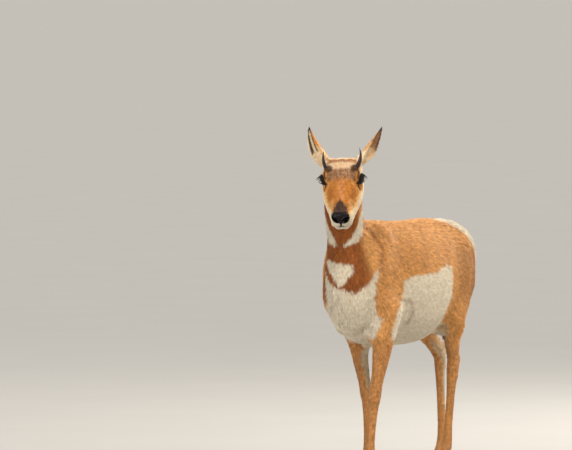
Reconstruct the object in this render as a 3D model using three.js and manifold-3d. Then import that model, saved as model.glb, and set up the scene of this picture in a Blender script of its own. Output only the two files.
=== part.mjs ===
// A standing pronghorn doe, life size, in millimetres. +X is the way the body faces, +Y its left, +Z up.
// The body is one smooth field of distances, drawn as meshes and parted with thin cuts into named solids.
import * as THREE from 'three';
import { mergeVertices } from 'three/addons/utils/BufferGeometryUtils.js';
import Module from 'manifold-3d';

const wasm = await Module();
wasm.setup();

// Driving sizes
const GAP = 0.3; // clearance left between neighbouring solids
const HEAD_YAW = 22.3; // degrees that the head is turned to the left
const HEAD_PITCH = 43.5; // degrees that the face slopes below level
const HEAD_ROLL = 2; // degrees that the left side of the head is raised
const EYE_MIDDLE = [478, 40, 1014]; // the point midway between the eyes
const EYE_SPREAD = 49; // half the distance between the eyeballs' centres
const EYE_RADIUS = 22.5;
const TRUNK_CELL = 26;
const HEAD_CELL = 9;

const LEFT = 1;
const RIGHT = -1;
const rad = THREE.MathUtils.degToRad;
const lerp = THREE.MathUtils.lerp;
const vec = (x, y, z) => new THREE.Vector3(x, y, z);

// Fields: a field gives the signed distance of a point from a surface, negative inside.

const smoothMin = (a, b, blend) => {
  const near = Math.max(blend - Math.abs(a - b), 0) / blend;
  return Math.min(a, b) - (near * near * blend) / 4;
};

// Rows of numbers, made finer along a Catmull-Rom curve.
function refine(rows, steps) {
  const out = [];
  for (let i = 0; i + 1 < rows.length; i++) {
    const quad = [rows[Math.max(i - 1, 0)], rows[i], rows[i + 1], rows[Math.min(i + 2, rows.length - 1)]];
    for (let k = 0; k < steps; k++) {
      const t = k / steps;
      out.push(rows[i].map((_, n) => {
        const [a, b, c, d] = quad.map((row) => row[n]);
        return b + 0.5 * t * (c - a + t * (2 * a - 5 * b + 4 * c - d + t * (3 * (b - c) + d - a)));
      }));
    }
  }
  out.push(rows[rows.length - 1]);
  return out;
}

// The box round a set of centres and radii, as its low and high corners.
const roomOf = (spots) => [
  [0, 1, 2].map((k) => Math.min(...spots.map(([at, radius]) => at[k] - radius))),
  [0, 1, 2].map((k) => Math.max(...spots.map(([at, radius]) => at[k] + radius))),
];

// A limb is a run of rounded sections. Each row is x, y, z, half width, half height on the upper side and on the
// under side. The upper side is (direction of the run) x (across).
function limb(rows, { across = [0, 1, 0], blend = 20, steps = 4, power = 2 } = {}) {
  const fine = refine(rows, steps);
  const runs = fine.slice(1).map((end, i) => {
    const from = vec(...fine[i].slice(0, 3));
    const along = vec(...end.slice(0, 3)).sub(from);
    const length = along.length();
    const way = along.clone().divideScalar(length);
    const side = vec(...across).addScaledVector(way, -way.dot(vec(...across))).normalize();
    return { from, way, side, up: way.clone().cross(side), length, a: fine[i].slice(3), b: end.slice(3) };
  });
  const field = (x, y, z) => {
    let best = Infinity;
    for (const r of runs) {
      const dx = x - r.from.x;
      const dy = y - r.from.y;
      const dz = z - r.from.z;
      const along = dx * r.way.x + dy * r.way.y + dz * r.way.z;
      const t = Math.min(Math.max(along / r.length, 0), 1);
      const past = along - t * r.length;
      const s = dx * r.side.x + dy * r.side.y + dz * r.side.z;
      const u = dx * r.up.x + dy * r.up.y + dz * r.up.z;
      const w = lerp(r.a[0], r.b[0], t);
      const h = u > 0 ? lerp(r.a[1], r.b[1], t) : lerp(r.a[2], r.b[2], t);
      const round = power === 2
        ? Math.hypot(s / w, u / h)
        : (Math.abs(s / w) ** power + Math.abs(u / h) ** power) ** (1 / power);
      const k = Math.hypot(round, past / Math.min(w, h));
      const far = Math.hypot(s, u, past);
      best = Math.min(best, k < 1e-3 ? -Math.min(w, h) : far * (1 - 1 / k));
    }
    return best;
  };
  return { field, blend, fine, room: roomOf(fine.map((row) => [row.slice(0, 3), Math.max(...row.slice(3))])) };
}

const ball = ([x, y, z], [a, b, c], blend) => {
  const field = (px, py, pz) => {
    const far = Math.hypot(px - x, py - y, pz - z);
    const k = Math.hypot((px - x) / a, (py - y) / b, (pz - z) / c);
    return k < 1e-3 ? -Math.min(a, b, c) : far * (1 - 1 / k);
  };
  return { field, blend, room: roomOf([[[x, y, z], Math.max(a, b, c)]]) };
};

// Shapes blended into one field. A shape too far off to matter is passed over.
const joined = (shapes) => (x, y, z) => {
  let d = 1e3;
  for (const { field, blend, room } of shapes) {
    const [low, high] = room;
    const off = Math.hypot(
      Math.max(low[0] - x, 0, x - high[0]), Math.max(low[1] - y, 0, y - high[1]), Math.max(low[2] - z, 0, z - high[2]));
    if (off < d + blend) d = smoothMin(d, field(x, y, z), blend);
  }
  return d;
};

// Torso: x, half width, height of the widest line, top and bottom of the outline.
const TORSO_OUTLINE = [
  [-416, 46, 728, 756, 672],
  [-385, 79, 722, 806, 616],
  [-325, 108, 712, 847, 560],
  [-240, 130, 695, 862, 505],
  [-140, 146, 668, 860, 462],
  [-40, 153, 652, 857, 446],
  [60, 147, 648, 859, 447],
  [150, 126, 650, 864, 455],
  [235, 100, 655, 866, 462],
  [300, 82, 652, 843, 474],
  [355, 68, 640, 768, 500],
  [392, 46, 628, 700, 545],
];
const torso = limb(
  TORSO_OUTLINE.map(([x, width, level, top, bottom]) => [x, 0, level, width, top - level, level - bottom]),
  { blend: 1, power: 2.15 },
);

// Neck, from the chest to the back of the skull.
const neck = limb([
  [262, 0, 690, 86, 120, 116],
  [322, 0, 752, 76, 104, 96],
  [360, 0, 822, 64, 84, 76],
  [387, 1, 880, 61, 70, 64],
  [403, 6, 940, 62, 62, 59],
  [420, 13, 1000, 56, 56, 51],
], { blend: 46 });

// Muscles that show under the coat, on each side.
function muscles(side) {
  const y = (v) => side * v;
  return [
    limb([[246, y(58), 812, 32, 44, 44], [288, y(65), 700, 31, 60, 60], [318, y(55), 622, 28, 52, 54]], { blend: 60 }),
    limb([[312, y(53), 618, 27, 48, 50], [248, y(60), 540, 28, 52, 52]], { blend: 50 }),
    ball([352, y(22), 602], [38, 38, 80], 46),
    limb([[-316, y(56), 765, 50, 70, 70], [-296, y(64), 660, 47, 74, 72]], { blend: 70 }),
  ];
}

// A fore leg from the elbow through the knee and fetlock to the coronet. Each row starts with its distance from the
// animal's middle and its height, and the leg's own places along X are given for the elbow, knee and fetlock.
const ELBOW_Z = 520;
const KNEE_Z = 285;
const FETLOCK_Z = 98;
const foreRows = (side, inward, elbowX, kneeX, fetlockX) => [
  [94, 575, 44, 62, 62],
  [92, 512, 37, 52, 50],
  [88, 452, 29, 41, 40],
  [83, 388, 23, 30, 29],
  [77, 332, 19, 24, 23],
  [74, 304, 20, 24, 22],
  [72, 278, 19.5, 23, 22],
  [71, 250, 15, 17, 18],
  [69, 195, 13, 14.5, 15.5],
  [68, 140, 13.5, 15, 15.5],
  [67, 118, 16, 17, 18],
  [67, 98, 18, 19, 20],
  [67, 72, 15.5, 16, 17],
  [67, 50, 18.5, 18, 18],
  [67, 24, 20, 20, 20],
].map(([y, z, width, front, back]) => {
  const x = z > KNEE_Z
    ? lerp(kneeX, elbowX, (z - KNEE_Z) / (ELBOW_Z - KNEE_Z))
    : lerp(kneeX, fetlockX, Math.min((KNEE_Z - z) / (KNEE_Z - FETLOCK_Z), 1));
  const pastern = Math.max(FETLOCK_Z - z, 0) * 0.6;
  return [x + pastern, side * (y - inward * Math.min(z / 450, 1) ** 2), z, width, front, back];
});

// A hind leg from the thigh through the stifle, hock and fetlock to the coronet. Joints are x, distance from the
// animal's middle, and height.
const hindRows = (side, stifle, hock, fetlock) => {
  const thigh = [stifle[0] - 66, stifle[1] - 11, stifle[2] + 110];
  const between = (a, b, t) => a.map((v, k) => lerp(v, b[k], t));
  const row = ([x, y, z], width, front, back) => [x, side * y, z, width, front, back];
  const below = (forward, down) => [fetlock[0] + forward, fetlock[1], fetlock[2] - down];
  return [
    row(thigh, 43, 78, 76),
    row(between(stifle, thigh, 0.45), 44, 70, 78),
    row(stifle, 40, 48, 70),
    row(between(stifle, hock, 0.3), 30, 38, 46),
    row(between(stifle, hock, 0.55), 22, 30, 34),
    row(between(stifle, hock, 0.8), 17.5, 20, 25),
    row(hock, 18, 25, 24),
    row(between(hock, fetlock, 0.14), 16.5, 21, 22),
    row(between(hock, fetlock, 0.3), 13.5, 16, 18),
    row(between(hock, fetlock, 0.6), 12.5, 14.5, 16),
    row(between(hock, fetlock, 0.88), 14, 15, 16),
    row(fetlock, 17.5, 18.5, 20),
    row(below(16, 26), 15, 15.5, 16.5),
    row(below(30, 48), 18, 17.5, 17.5),
    row(below(42, 74), 19.5, 19.5, 19.5),
  ];
};

// The muscle from the seat to the back of the shin, and the heel bone behind the hock with its tendon.
const heel = (side, stifle, hock) => {
  const tip = [hock[0] - 27, side * (hock[1] + 1), hock[2] + 28];
  const rise = [lerp(stifle[0], hock[0], 0.5) - 22, side * lerp(stifle[1], hock[1], 0.5), lerp(stifle[2], hock[2], 0.5) + 8];
  const shank = [hock[0] - 8, side * (hock[1] - 1), hock[2] - 34];
  const ham = [lerp(stifle[0], hock[0], 0.28) - 30, side * lerp(stifle[1], hock[1], 0.3), lerp(stifle[2], hock[2], 0.28)];
  const seat = [-380, side * 46, 730];
  return [
    limb([[...seat, 38, 42, 42], [lerp(seat[0], ham[0], 0.5) - 6, side * 64, lerp(730, ham[2], 0.5), 36, 48, 46],
      [...ham, 26, 34, 32]], { blend: 50 }),
    limb([[...rise, 11, 14, 14], [...tip, 9.5, 11, 11]], { blend: 22 }),
    limb([[...tip, 9.5, 11, 11], [...shank, 13, 14, 14]], { blend: 12 }),
  ];
};

const hindLeg = (side, ...joints) => ({ side, rows: hindRows(side, ...joints), extra: heel(side, ...joints) });
const LEGS = {
  left_fore: { side: LEFT, rows: foreRows(LEFT, 0, 266, 304, 330), extra: [] },
  right_fore: { side: RIGHT, rows: foreRows(RIGHT, 24, 170, 88, 66), extra: [] },
  left_hind: hindLeg(LEFT, [-218, 96, 560], [-256, 90, 360], [-242, 76, 98]),
  right_hind: hindLeg(RIGHT, [-288, 92, 556], [-478, 66, 384], [-490, 60, 98]),
};
for (const leg of Object.values(LEGS)) leg.limb = limb(leg.rows, { blend: 44 });

// Head frame: x runs down the face, y to the animal's left, z out of the forehead, from the point between the eyes.
const headTurn = new THREE.Matrix4()
  .makeRotationZ(rad(HEAD_YAW))
  .multiply(new THREE.Matrix4().makeRotationX(rad(HEAD_ROLL)))
  .multiply(new THREE.Matrix4().makeRotationY(rad(HEAD_PITCH)));
const headFrame = new THREE.Matrix4().makeTranslation(...EYE_MIDDLE).multiply(headTurn);
const headBack = headFrame.clone().invert();

// Skull: place along the face, half width, height of the widest line, top and bottom.
const SKULL_OUTLINE = [
  [-78, 32, -14, -1, -48],
  [-60, 46, -10, 15, -58],
  [-34, 54, -8, 29, -64],
  [-6, 56, -8, 35, -64],
  [24, 51, -12, 31, -62],
  [56, 44, -18, 22, -60],
  [88, 37, -22, 14, -58],
  [118, 34, -25, 8, -58],
  [140, 35, -28, 3, -60],
  [152, 32, -31, -2, -58],
];
const skull = limb(
  SKULL_OUTLINE.map(([x, width, level, top, bottom]) => [x, 0, level, width, top - level, level - bottom]),
  { blend: 1, power: 2.1 },
);

function faceForms(side) {
  const y = (v) => side * v;
  return [
    ball([1, y(EYE_SPREAD - 1), 0.5], [28, 26, 27.5], 10), // flesh round the eyeball
    ball([-4, y(44), 21], [26, 13, 10], 12), // brow
    ball([-14, y(45), 31], [15, 12, 10], 10), // horn base
    limb([[-44, y(48), -12, 10, 13, 13], [14, y(50), -25, 9, 9, 10], [54, y(42), -30, 7, 8, 9]], { blend: 16 }), // cheekbone
    limb([[-42, y(31), -52, 29, 34, 32], [0, y(37), -54, 29, 34, 34], [46, y(35), -50, 27, 30, 33],
      [86, y(29), -46, 23, 25, 31], [120, y(22), -46, 18, 21, 28]], { blend: 18 }), // cheek and jaw
    ball([-52, y(42), 0], [24, 20, 26], 14), // root of the ear
    ball([157, y(17), -16], [16, 14, 16], 8), // nostril wing
    limb([[126, y(27), -45, 11, 14, 16], [156, y(22), -49, 12, 12, 14]], { blend: 10 }), // upper lip
    limb([[56, y(18), -68, 17, 14, 16], [104, y(17), -69, 15, 13, 14], [150, y(12), -68, 13, 11, 13]], { blend: 12 }), // lower lip
  ];
}
const headShapes = [skull, ...faceForms(LEFT), ...faceForms(RIGHT), ball([160, 0, -20], [13, 16, 20], 8)];
const headForm = joined(headShapes);
const point = vec(0, 0, 0);
const headField = (x, y, z) => {
  point.set(x, y, z).applyMatrix4(headBack);
  return headForm(point.x, point.y, point.z);
};

const trunkField = joined([
  torso, neck, ...muscles(LEFT), ...muscles(RIGHT),
  ...Object.values(LEGS).flatMap((leg) => [leg.limb, ...leg.extra]),
]);
const HEAD_BLEND = 26;
const bodyField = (x, y, z) => smoothMin(trunkField(x, y, z), headField(x, y, z), HEAD_BLEND);

// Meshes from fields

const slope = (field, p, step = 0.5) => vec(
  field(p.x + step, p.y, p.z) - field(p.x - step, p.y, p.z),
  field(p.x, p.y + step, p.z) - field(p.x, p.y - step, p.z),
  field(p.x, p.y, p.z + step) - field(p.x, p.y, p.z - step),
).divideScalar(2 * step);

function geometryOf(points, triangles) {
  const geometry = new THREE.BufferGeometry();
  geometry.setAttribute('position', new THREE.Float32BufferAttribute(points.flatMap((p) => [p.x, p.y, p.z]), 3));
  geometry.setIndex(triangles);
  return geometry;
}

// The surface of a field inside a box, as a net with one vertex in each cell that the surface crosses.
function net(field, low, high, cell) {
  const count = low.map((v, k) => Math.ceil((high[k] - v) / cell) + 1);
  const at = (i, j, k) => i + count[0] * (j + count[1] * k);
  const value = new Float64Array(count[0] * count[1] * count[2]);
  for (let k = 0; k < count[2]; k++)
    for (let j = 0; j < count[1]; j++)
      for (let i = 0; i < count[0]; i++)
        value[at(i, j, k)] = field(low[0] + i * cell, low[1] + j * cell, low[2] + k * cell);
  const points = [];
  const made = new Map();
  const corners = [0, 1, 2, 3, 4, 5, 6, 7].map((n) => [n & 1, (n >> 1) & 1, (n >> 2) & 1]);
  const vertex = (i, j, k) => {
    const key = at(i, j, k);
    if (made.has(key)) return made.get(key);
    const sum = vec(0, 0, 0);
    let crossings = 0;
    corners.forEach((a) => [0, 1, 2].filter((axis) => !a[axis]).forEach((axis) => {
      const b = a.map((v, n) => (n === axis ? 1 : v));
      const va = value[at(i + a[0], j + a[1], k + a[2])];
      const vb = value[at(i + b[0], j + b[1], k + b[2])];
      if (va < 0 === vb < 0) return;
      const t = va / (va - vb);
      sum.add(vec(i + lerp(a[0], b[0], t), j + lerp(a[1], b[1], t), k + lerp(a[2], b[2], t)));
      crossings++;
    }));
    const p = sum.divideScalar(crossings).multiplyScalar(cell).add(vec(...low));
    points.push(p);
    made.set(key, points.length - 1);
    return points.length - 1;
  };
  const triangles = [];
  for (let k = 0; k + 1 < count[2]; k++)
    for (let j = 0; j + 1 < count[1]; j++)
      for (let i = 0; i + 1 < count[0]; i++)
        [[1, 0, 0], [0, 1, 0], [0, 0, 1]].forEach((step, axis) => {
          const inside = value[at(i, j, k)] < 0;
          if (inside === value[at(i + step[0], j + step[1], k + step[2])] < 0) return;
          const [m, n] = [0, 1, 2].filter((v) => v !== axis);
          const cellAt = (dm, dn) => {
            const c = [i, j, k];
            c[m] -= dm;
            c[n] -= dn;
            return vertex(...c);
          };
          let quad = [cellAt(0, 0), cellAt(1, 0), cellAt(1, 1), cellAt(0, 1)];
          if (inside === (axis === 1)) quad = quad.reverse();
          const near = points[quad[0]].distanceTo(points[quad[2]]) <= points[quad[1]].distanceTo(points[quad[3]]);
          if (near) triangles.push(quad[0], quad[1], quad[2], quad[0], quad[2], quad[3]);
          else triangles.push(quad[0], quad[1], quad[3], quad[1], quad[2], quad[3]);
        });
  for (const p of points)
    for (let n = 0; n < 3; n++) {
      const g = slope(field, p);
      const step = THREE.MathUtils.clamp(field(p.x, p.y, p.z) / Math.max(g.lengthSq(), 0.2), -cell / 4, cell / 4);
      p.addScaledVector(g, -step);
    }
  return geometryOf(points, triangles);
}

// Rings of points joined into a closed surface. A ring of one point closes that end, and any other end gets a cap.
function loft(rings) {
  const points = [];
  const starts = rings.map((ring) => {
    points.push(...ring);
    return points.length - ring.length;
  });
  const sides = Math.max(...rings.map((ring) => ring.length));
  const triangles = [];
  for (let r = 0; r + 1 < rings.length; r++)
    for (let j = 0; j < sides; j++) {
      const next = (j + 1) % sides;
      const [a, b] = [starts[r], starts[r + 1]];
      const [one, other] = [rings[r].length === 1, rings[r + 1].length === 1];
      if (one && !other) triangles.push(a, b + next, b + j);
      else if (other) triangles.push(a + j, a + next, b);
      else triangles.push(a + j, a + next, b + next, a + j, b + next, b + j);
    }
  [0, rings.length - 1].forEach((r) => {
    if (rings[r].length === 1) return;
    const middle = rings[r].reduce((sum, p) => sum.add(p), vec(0, 0, 0)).divideScalar(sides);
    points.push(middle);
    for (let j = 0; j < sides; j++) {
      const next = (j + 1) % sides;
      if (r === 0) triangles.push(points.length - 1, starts[r] + next, starts[r] + j);
      else triangles.push(points.length - 1, starts[r] + j, starts[r] + next);
    }
  });
  return geometryOf(points, triangles);
}

// How far a ray from inside a field runs before it leaves.
function reach(field, from, way, farthest) {
  let inside = 0;
  let outside = 0;
  const value = (r) => field(from.x + way.x * r, from.y + way.y * r, from.z + way.z * r);
  while (outside < farthest && value(outside) < 0) {
    inside = outside;
    outside += Math.max(Math.abs(value(outside)) * 0.8, 0.8);
  }
  for (let n = 0; n < 16; n++) {
    const middle = (inside + outside) / 2;
    if (value(middle) < 0) inside = middle;
    else outside = middle;
  }
  return inside;
}

// Wraps rings round a path of frames {at, way, side, tilt}, out to the field's surface.
function wrap(field, frames, sides, farthest = 400) {
  return loft(frames.map(({ at, way, side, tilt = 0 }) => {
    const up = way.clone().cross(side);
    const count = tilt > 89 ? 1 : sides;
    return Array.from({ length: count }, (_, j) => {
      const turn = (2 * Math.PI * j) / sides;
      const out = side.clone().multiplyScalar(Math.cos(turn)).addScaledVector(up, Math.sin(turn));
      const ray = out.multiplyScalar(Math.cos(rad(tilt))).addScaledVector(way, Math.sin(rad(tilt))).normalize();
      return at.clone().addScaledVector(ray, reach(field, at, ray, farthest));
    });
  }));
}

// Solids

// A closed solid from a geometry, turned right side out if its triangles run the wrong way.
function solid(geometry) {
  const bare = geometry.clone();
  bare.deleteAttribute('normal');
  bare.deleteAttribute('uv');
  const merged = mergeVertices(bare, 1e-4);
  const build = (triVerts) => new wasm.Manifold(new wasm.Mesh({
    numProp: 3,
    vertProperties: new Float32Array(merged.attributes.position.array),
    triVerts,
  }));
  const triangles = new Uint32Array(merged.index.array);
  const made = build(triangles);
  return made.volume() > 0 ? made : build(triangles.slice().reverse());
}

function geometryFrom(made) {
  const mesh = made.getMesh();
  const geometry = new THREE.BufferGeometry();
  geometry.setAttribute('position', new THREE.BufferAttribute(new Float32Array(mesh.vertProperties), 3));
  geometry.setIndex(new THREE.BufferAttribute(new Uint32Array(mesh.triVerts), 1));
  return geometry;
}

// Folds away every edge shorter than a limit, where the surface stays closed with each edge between two triangles.
function welded(geometry, shortest = 0.25) {
  const { position } = geometry.attributes;
  const index = geometry.index.array;
  const spot = (i) => vec(0, 0, 0).fromBufferAttribute(position, i);
  const facesOf = Array.from({ length: position.count }, () => new Set());
  for (let k = 0; k < index.length; k += 3) {
    const face = [index[k], index[k + 1], index[k + 2]];
    face.forEach((v) => facesOf[v].add(face));
  }
  const around = (v) => new Set(Array.from(facesOf[v]).flat().filter((n) => n !== v));
  const fold = (keep, drop) => {
    const near = around(keep);
    if (Array.from(around(drop)).filter((n) => near.has(n)).length !== 2) return;
    for (const face of Array.from(facesOf[drop])) {
      if (face.includes(keep)) face.forEach((v) => facesOf[v].delete(face));
      else {
        face[face.indexOf(drop)] = keep;
        facesOf[drop].delete(face);
        facesOf[keep].add(face);
      }
    }
  };
  for (let v = 0; v < position.count; v++)
    for (let short = true; short;) {
      const next = Array.from(around(v)).filter((n) => spot(v).distanceTo(spot(n)) < shortest);
      const count = facesOf[v].size;
      if (next.length) fold(v, next[0]);
      short = next.length > 0 && facesOf[v].size !== count;
    }
  const faces = new Set(facesOf.flatMap((set) => Array.from(set)));
  return mergeVertices(geometryOf(Array.from({ length: position.count }, (_, i) => spot(i)), Array.from(faces).flat()), 1e-5);
}

// The largest closed body of a solid, so that no loose scrap stays.
const largest = (made) => made.decompose().reduce((a, b) => (a.volume() > b.volume() ? a : b), made);

const block = (low, high, frame = null) => {
  const size = high.map((v, k) => v - low[k]);
  const geometry = new THREE.BoxGeometry(...size).translate(...low.map((v, k) => v + size[k] / 2));
  return solid(frame ? geometry.applyMatrix4(frame) : geometry);
};

// A block on the side of a plane that the normal points away from, grown by a margin.
const FAR = 1500;
function behind(at, normal, margin = 0) {
  const frame = new THREE.Matrix4().makeTranslation(...at)
    .multiply(new THREE.Matrix4().makeRotationFromQuaternion(
      new THREE.Quaternion().setFromUnitVectors(vec(0, 0, 1), vec(...normal).normalize())));
  return block([-FAR, -FAR, -FAR], [FAR, FAR, margin], frame);
}

// A field kept to a box, so that its mesh closes there.
const kept = (field, low, high) => (x, y, z) => Math.max(
  field(x, y, z), low[0] - x, x - high[0], low[1] - y, y - high[1], low[2] - z, z - high[2]);

// Cuts between the named parts
const NECK_CUT = { at: [238, 0, 872], normal: [0.74, 0, 0.67] };
const FORE_CUT_Z = 442;
const HIND_CUT = { at: [-140, 0, 438], tilt: 22 };
const KNEE_CUT_Z = 290;

const legBlock = (name, grow) => {
  const { side } = LEGS[name];
  const hind = name.endsWith('hind');
  const ys = side > 0 ? [2 - grow, 230] : [-230, grow - 2];
  if (!hind) return block([20, ys[0], -40], [440, ys[1], FORE_CUT_Z + grow]);
  const frame = new THREE.Matrix4().makeTranslation(...HIND_CUT.at)
    .multiply(new THREE.Matrix4().makeRotationY(rad(HIND_CUT.tilt)));
  return block([-700, ys[0], -900], [200, ys[1], grow], frame);
};

// The head is what lies in front of a plane behind the skull and above one under the jaw.
const HEAD_CUTS = [
  { at: [-35, 0, -85], normal: [0.874, 0, 0.485] },
  { at: [-35, 0, -86], normal: [0, 0, 1] },
];
const headWedge = (grow) => {
  const [back, under] = HEAD_CUTS.map(({ at, normal }) => behind(at, normal, -grow));
  const room = block([-200, -200, -200], [260, 200, 200]);
  return solid(geometryFrom(room.subtract(back).subtract(under)).applyMatrix4(headFrame));
};

// The trunk is the torso and the neck as one surface, before they are parted.
function makeTrunk() {
  const low = [-492, -208, 404];
  const high = [556, 205, 1130];
  const inset = TRUNK_CELL * 0.6;
  const field = kept(bodyField, low.map((v) => v + inset), high.map((v) => v - inset));
  return solid(net(field, low, high, TRUNK_CELL));
}

function makeTorso(trunk) {
  let made = trunk.intersect(behind(NECK_CUT.at, NECK_CUT.normal, 0));
  for (const name of Object.keys(LEGS)) made = made.subtract(legBlock(name, GAP));
  return largest(made);
}

function makeNeck(trunk) {
  let made = trunk;
  for (const one of maneLocks()) made = made.add(one);
  return largest(made.subtract(behind(NECK_CUT.at, NECK_CUT.normal, GAP)).subtract(headWedge(GAP)));
}

// A leg's flesh down to the coronet, parted at the knee or hock. The upper part is a net, which can follow the bend
// of the stifle, and the lower one is wrapped in rings.
const CORONET_TILT = 24;
const LEG_CELL = 17;
const LEG_ROOM = 75; // space kept round the leg's middle line for the net
function makeLeg(name) {
  const leg = LEGS[name];
  const hind = name.endsWith('hind');
  const own = joined([leg.limb, ...leg.extra]);
  const field = (x, y, z) => Math.max(bodyField(x, y, z), own(x, y, z) - 12);
  const jointRow = leg.rows[hind ? 6 : 5];
  const joint = { at: [jointRow[0], 0, hind ? jointRow[2] + 4 : KNEE_CUT_Z], normal: [0, 0, 1] };

  const top = hind ? HIND_CUT.at[2] + 150 : FORE_CUT_Z + LEG_CELL * 2;
  const foot = joint.at[2] - LEG_CELL * 2;
  const near = leg.limb.fine.filter((row) => row[2] > foot && row[2] < top);
  const spread = (k) => [Math.min(...near.map((row) => row[k])) - LEG_ROOM, Math.max(...near.map((row) => row[k])) + LEG_ROOM];
  const [xs, ys] = [spread(0), spread(1)];
  const low = [xs[0], leg.side > 0 ? 2 - LEG_CELL : ys[0], foot];
  const high = [xs[1], leg.side > 0 ? ys[1] : LEG_CELL - 2, top];
  const inset = LEG_CELL * 0.6;
  const open = kept(field, low.map((v) => v + inset), high.map((v) => v - inset));
  const upper = solid(net(open, low, high, LEG_CELL)).intersect(legBlock(name, 0));

  const rows = leg.limb.fine.filter((row) => row[2] < joint.at[2] + 30);
  const frames = rows.map((row, i) => {
    const before = rows[Math.max(i - 1, 0)];
    const after = rows[Math.min(i + 1, rows.length - 1)];
    const way = vec(...after.slice(0, 3)).sub(vec(...before.slice(0, 3))).normalize();
    const side = vec(0, 1, 0).addScaledVector(way, -way.y).normalize();
    return { at: vec(...row.slice(0, 3)), way, side };
  });
  const thin = frames.filter((_, i) => i % 3 === 0 || i === frames.length - 1);
  const lower = solid(wrap(field, thin, 12, 160));
  const last = leg.rows[leg.rows.length - 2];
  leg.coronet = { at: [last[0], 0, 34], normal: [-Math.sin(rad(CORONET_TILT)), 0, Math.cos(rad(CORONET_TILT))] };
  return {
    upper: largest(upper.subtract(behind(joint.at, joint.normal, GAP))),
    lower: largest(lower.subtract(behind(leg.coronet.at, leg.coronet.normal, 0)).intersect(behind(joint.at, joint.normal, 0))),
  };
}

// A claw of the cloven hoof: a pointed wedge with a straight inner wall, from the flat sole to the coronet.
const CLAW = { toe: 44, heel: -24, width: 20, height: 58, slit: 0.7, corners: 11 };
function makeClaw(name, which) {
  const leg = LEGS[name];
  const last = leg.rows[leg.rows.length - 2];
  const outline = (level) => {
    const toe = lerp(CLAW.toe, 6, level);
    const heelEnd = lerp(CLAW.heel, -22, level);
    const width = lerp(CLAW.width, 17, level);
    return Array.from({ length: CLAW.corners }, (_, j) => {
      const turn = (Math.PI * j) / (CLAW.corners - 1);
      const x = lerp(heelEnd, toe, 0.5 - 0.5 * Math.cos(turn));
      const full = Math.max(Math.sin(turn), 0) ** 0.75 * (1 - 0.25 * Math.max(Math.cos(Math.PI - turn), 0));
      return [x, CLAW.slit + Math.max(width * full, 0.5)];
    });
  };
  const levels = [0, 0.12, 0.4, 0.7, 1];
  const rings = levels.map((level) => {
    const outer = outline(level);
    const inner = outer.slice(1, -1).reverse().filter((_, j) => j % 3 === 1).map(([x]) => [x, CLAW.slit]);
    return [...outer, ...inner].map(([x, y]) => vec(last[0] + x, last[1] + which * y, level * CLAW.height));
  });
  return largest(solid(loft(rings)).intersect(behind(leg.coronet.at, leg.coronet.normal, -GAP)));
}

// Head
function makeHead() {
  const inHead = (x, y, z) => {
    point.set(x, y, z).applyMatrix4(headFrame);
    return bodyField(point.x, point.y, point.z);
  };
  const open = HEAD_CUTS.map(({ at, normal }) => ({ at: vec(...at), normal: vec(...normal).normalize() }));
  const field = (x, y, z) => Math.max(
    inHead(x, y, z),
    ...open.map(({ at, normal }) => -4 - (x - at.x) * normal.x - (y - at.y) * normal.y - (z - at.z) * normal.z));
  let made = solid(net(field, [-112, -92, -104], [188, 92, 70], HEAD_CELL));
  for (const side of [LEFT, RIGHT]) made = made.add(lids(side));
  for (const side of [LEFT, RIGHT]) made = made.subtract(eyeOpening(side)).subtract(nostril(side));
  made = made.subtract(mouthLine(field));
  for (const one of fringeLocks()) made = made.add(one);
  const placed = solid(geometryFrom(made).applyMatrix4(headFrame));
  return largest(placed.intersect(headWedge(0)));
}

// The eye looks out to the side, a little forward and up.
const eyeFrame = (side) => new THREE.Matrix4().makeTranslation(2, side * EYE_SPREAD, 0)
  .multiply(new THREE.Matrix4().makeRotationZ(side * rad(59)))
  .multiply(new THREE.Matrix4().makeRotationY(rad(-6)));

// The rim of the lids: a closed tube round an almond on the eyeball, thicker above than below.
const LID = { long: 19, high: 15, upper: 3.2, lower: 2.3, steps: 20, sides: 6 };
function lids(side) {
  const over = EYE_RADIUS + 0.8;
  const rim = Array.from({ length: LID.steps }, (_, i) => {
    const turn = (2 * Math.PI * i) / LID.steps;
    const y = LID.long * Math.cos(turn);
    const z = LID.high * Math.sin(turn) * (1 - 0.22 * Math.abs(Math.cos(turn)) ** 3);
    return vec(Math.sqrt(over ** 2 - y ** 2 - z ** 2), y, z);
  });
  const rings = rim.map((p, i) => {
    const way = rim[(i + 1) % LID.steps].clone().sub(rim[(i + LID.steps - 1) % LID.steps]).normalize();
    const out = p.clone().normalize();
    const wide = way.clone().cross(out);
    const size = lerp(LID.lower, LID.upper, 0.5 + 0.5 * p.z / LID.high);
    return Array.from({ length: LID.sides }, (_, j) => {
      const turn = (-2 * Math.PI * j) / LID.sides;
      return p.clone().addScaledVector(out, size * Math.cos(turn)).addScaledVector(wide, size * 1.15 * Math.sin(turn));
    });
  });
  const points = rings.flat();
  const triangles = [];
  for (let i = 0; i < LID.steps; i++)
    for (let j = 0; j < LID.sides; j++) {
      const [a, b] = [i * LID.sides, ((i + 1) % LID.steps) * LID.sides];
      const next = (j + 1) % LID.sides;
      triangles.push(a + j, a + next, b + next, a + j, b + next, b + j);
    }
  return solid(geometryOf(points, triangles).applyMatrix4(eyeFrame(side)));
}

function eyeOpening(side) {
  const window = new THREE.SphereGeometry(1, 16, 12).scale(20, LID.long - 1.8, LID.high - 2).translate(20, 0, 0);
  const socket = new THREE.SphereGeometry(EYE_RADIUS + 0.6, 16, 10);
  return solid(window.applyMatrix4(eyeFrame(side))).add(solid(socket.applyMatrix4(eyeFrame(side))));
}

const makeEye = (side) => solid(new THREE.SphereGeometry(EYE_RADIUS, 16, 10)
  .applyMatrix4(new THREE.Matrix4().multiplyMatrices(headFrame, eyeFrame(side))));

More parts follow.
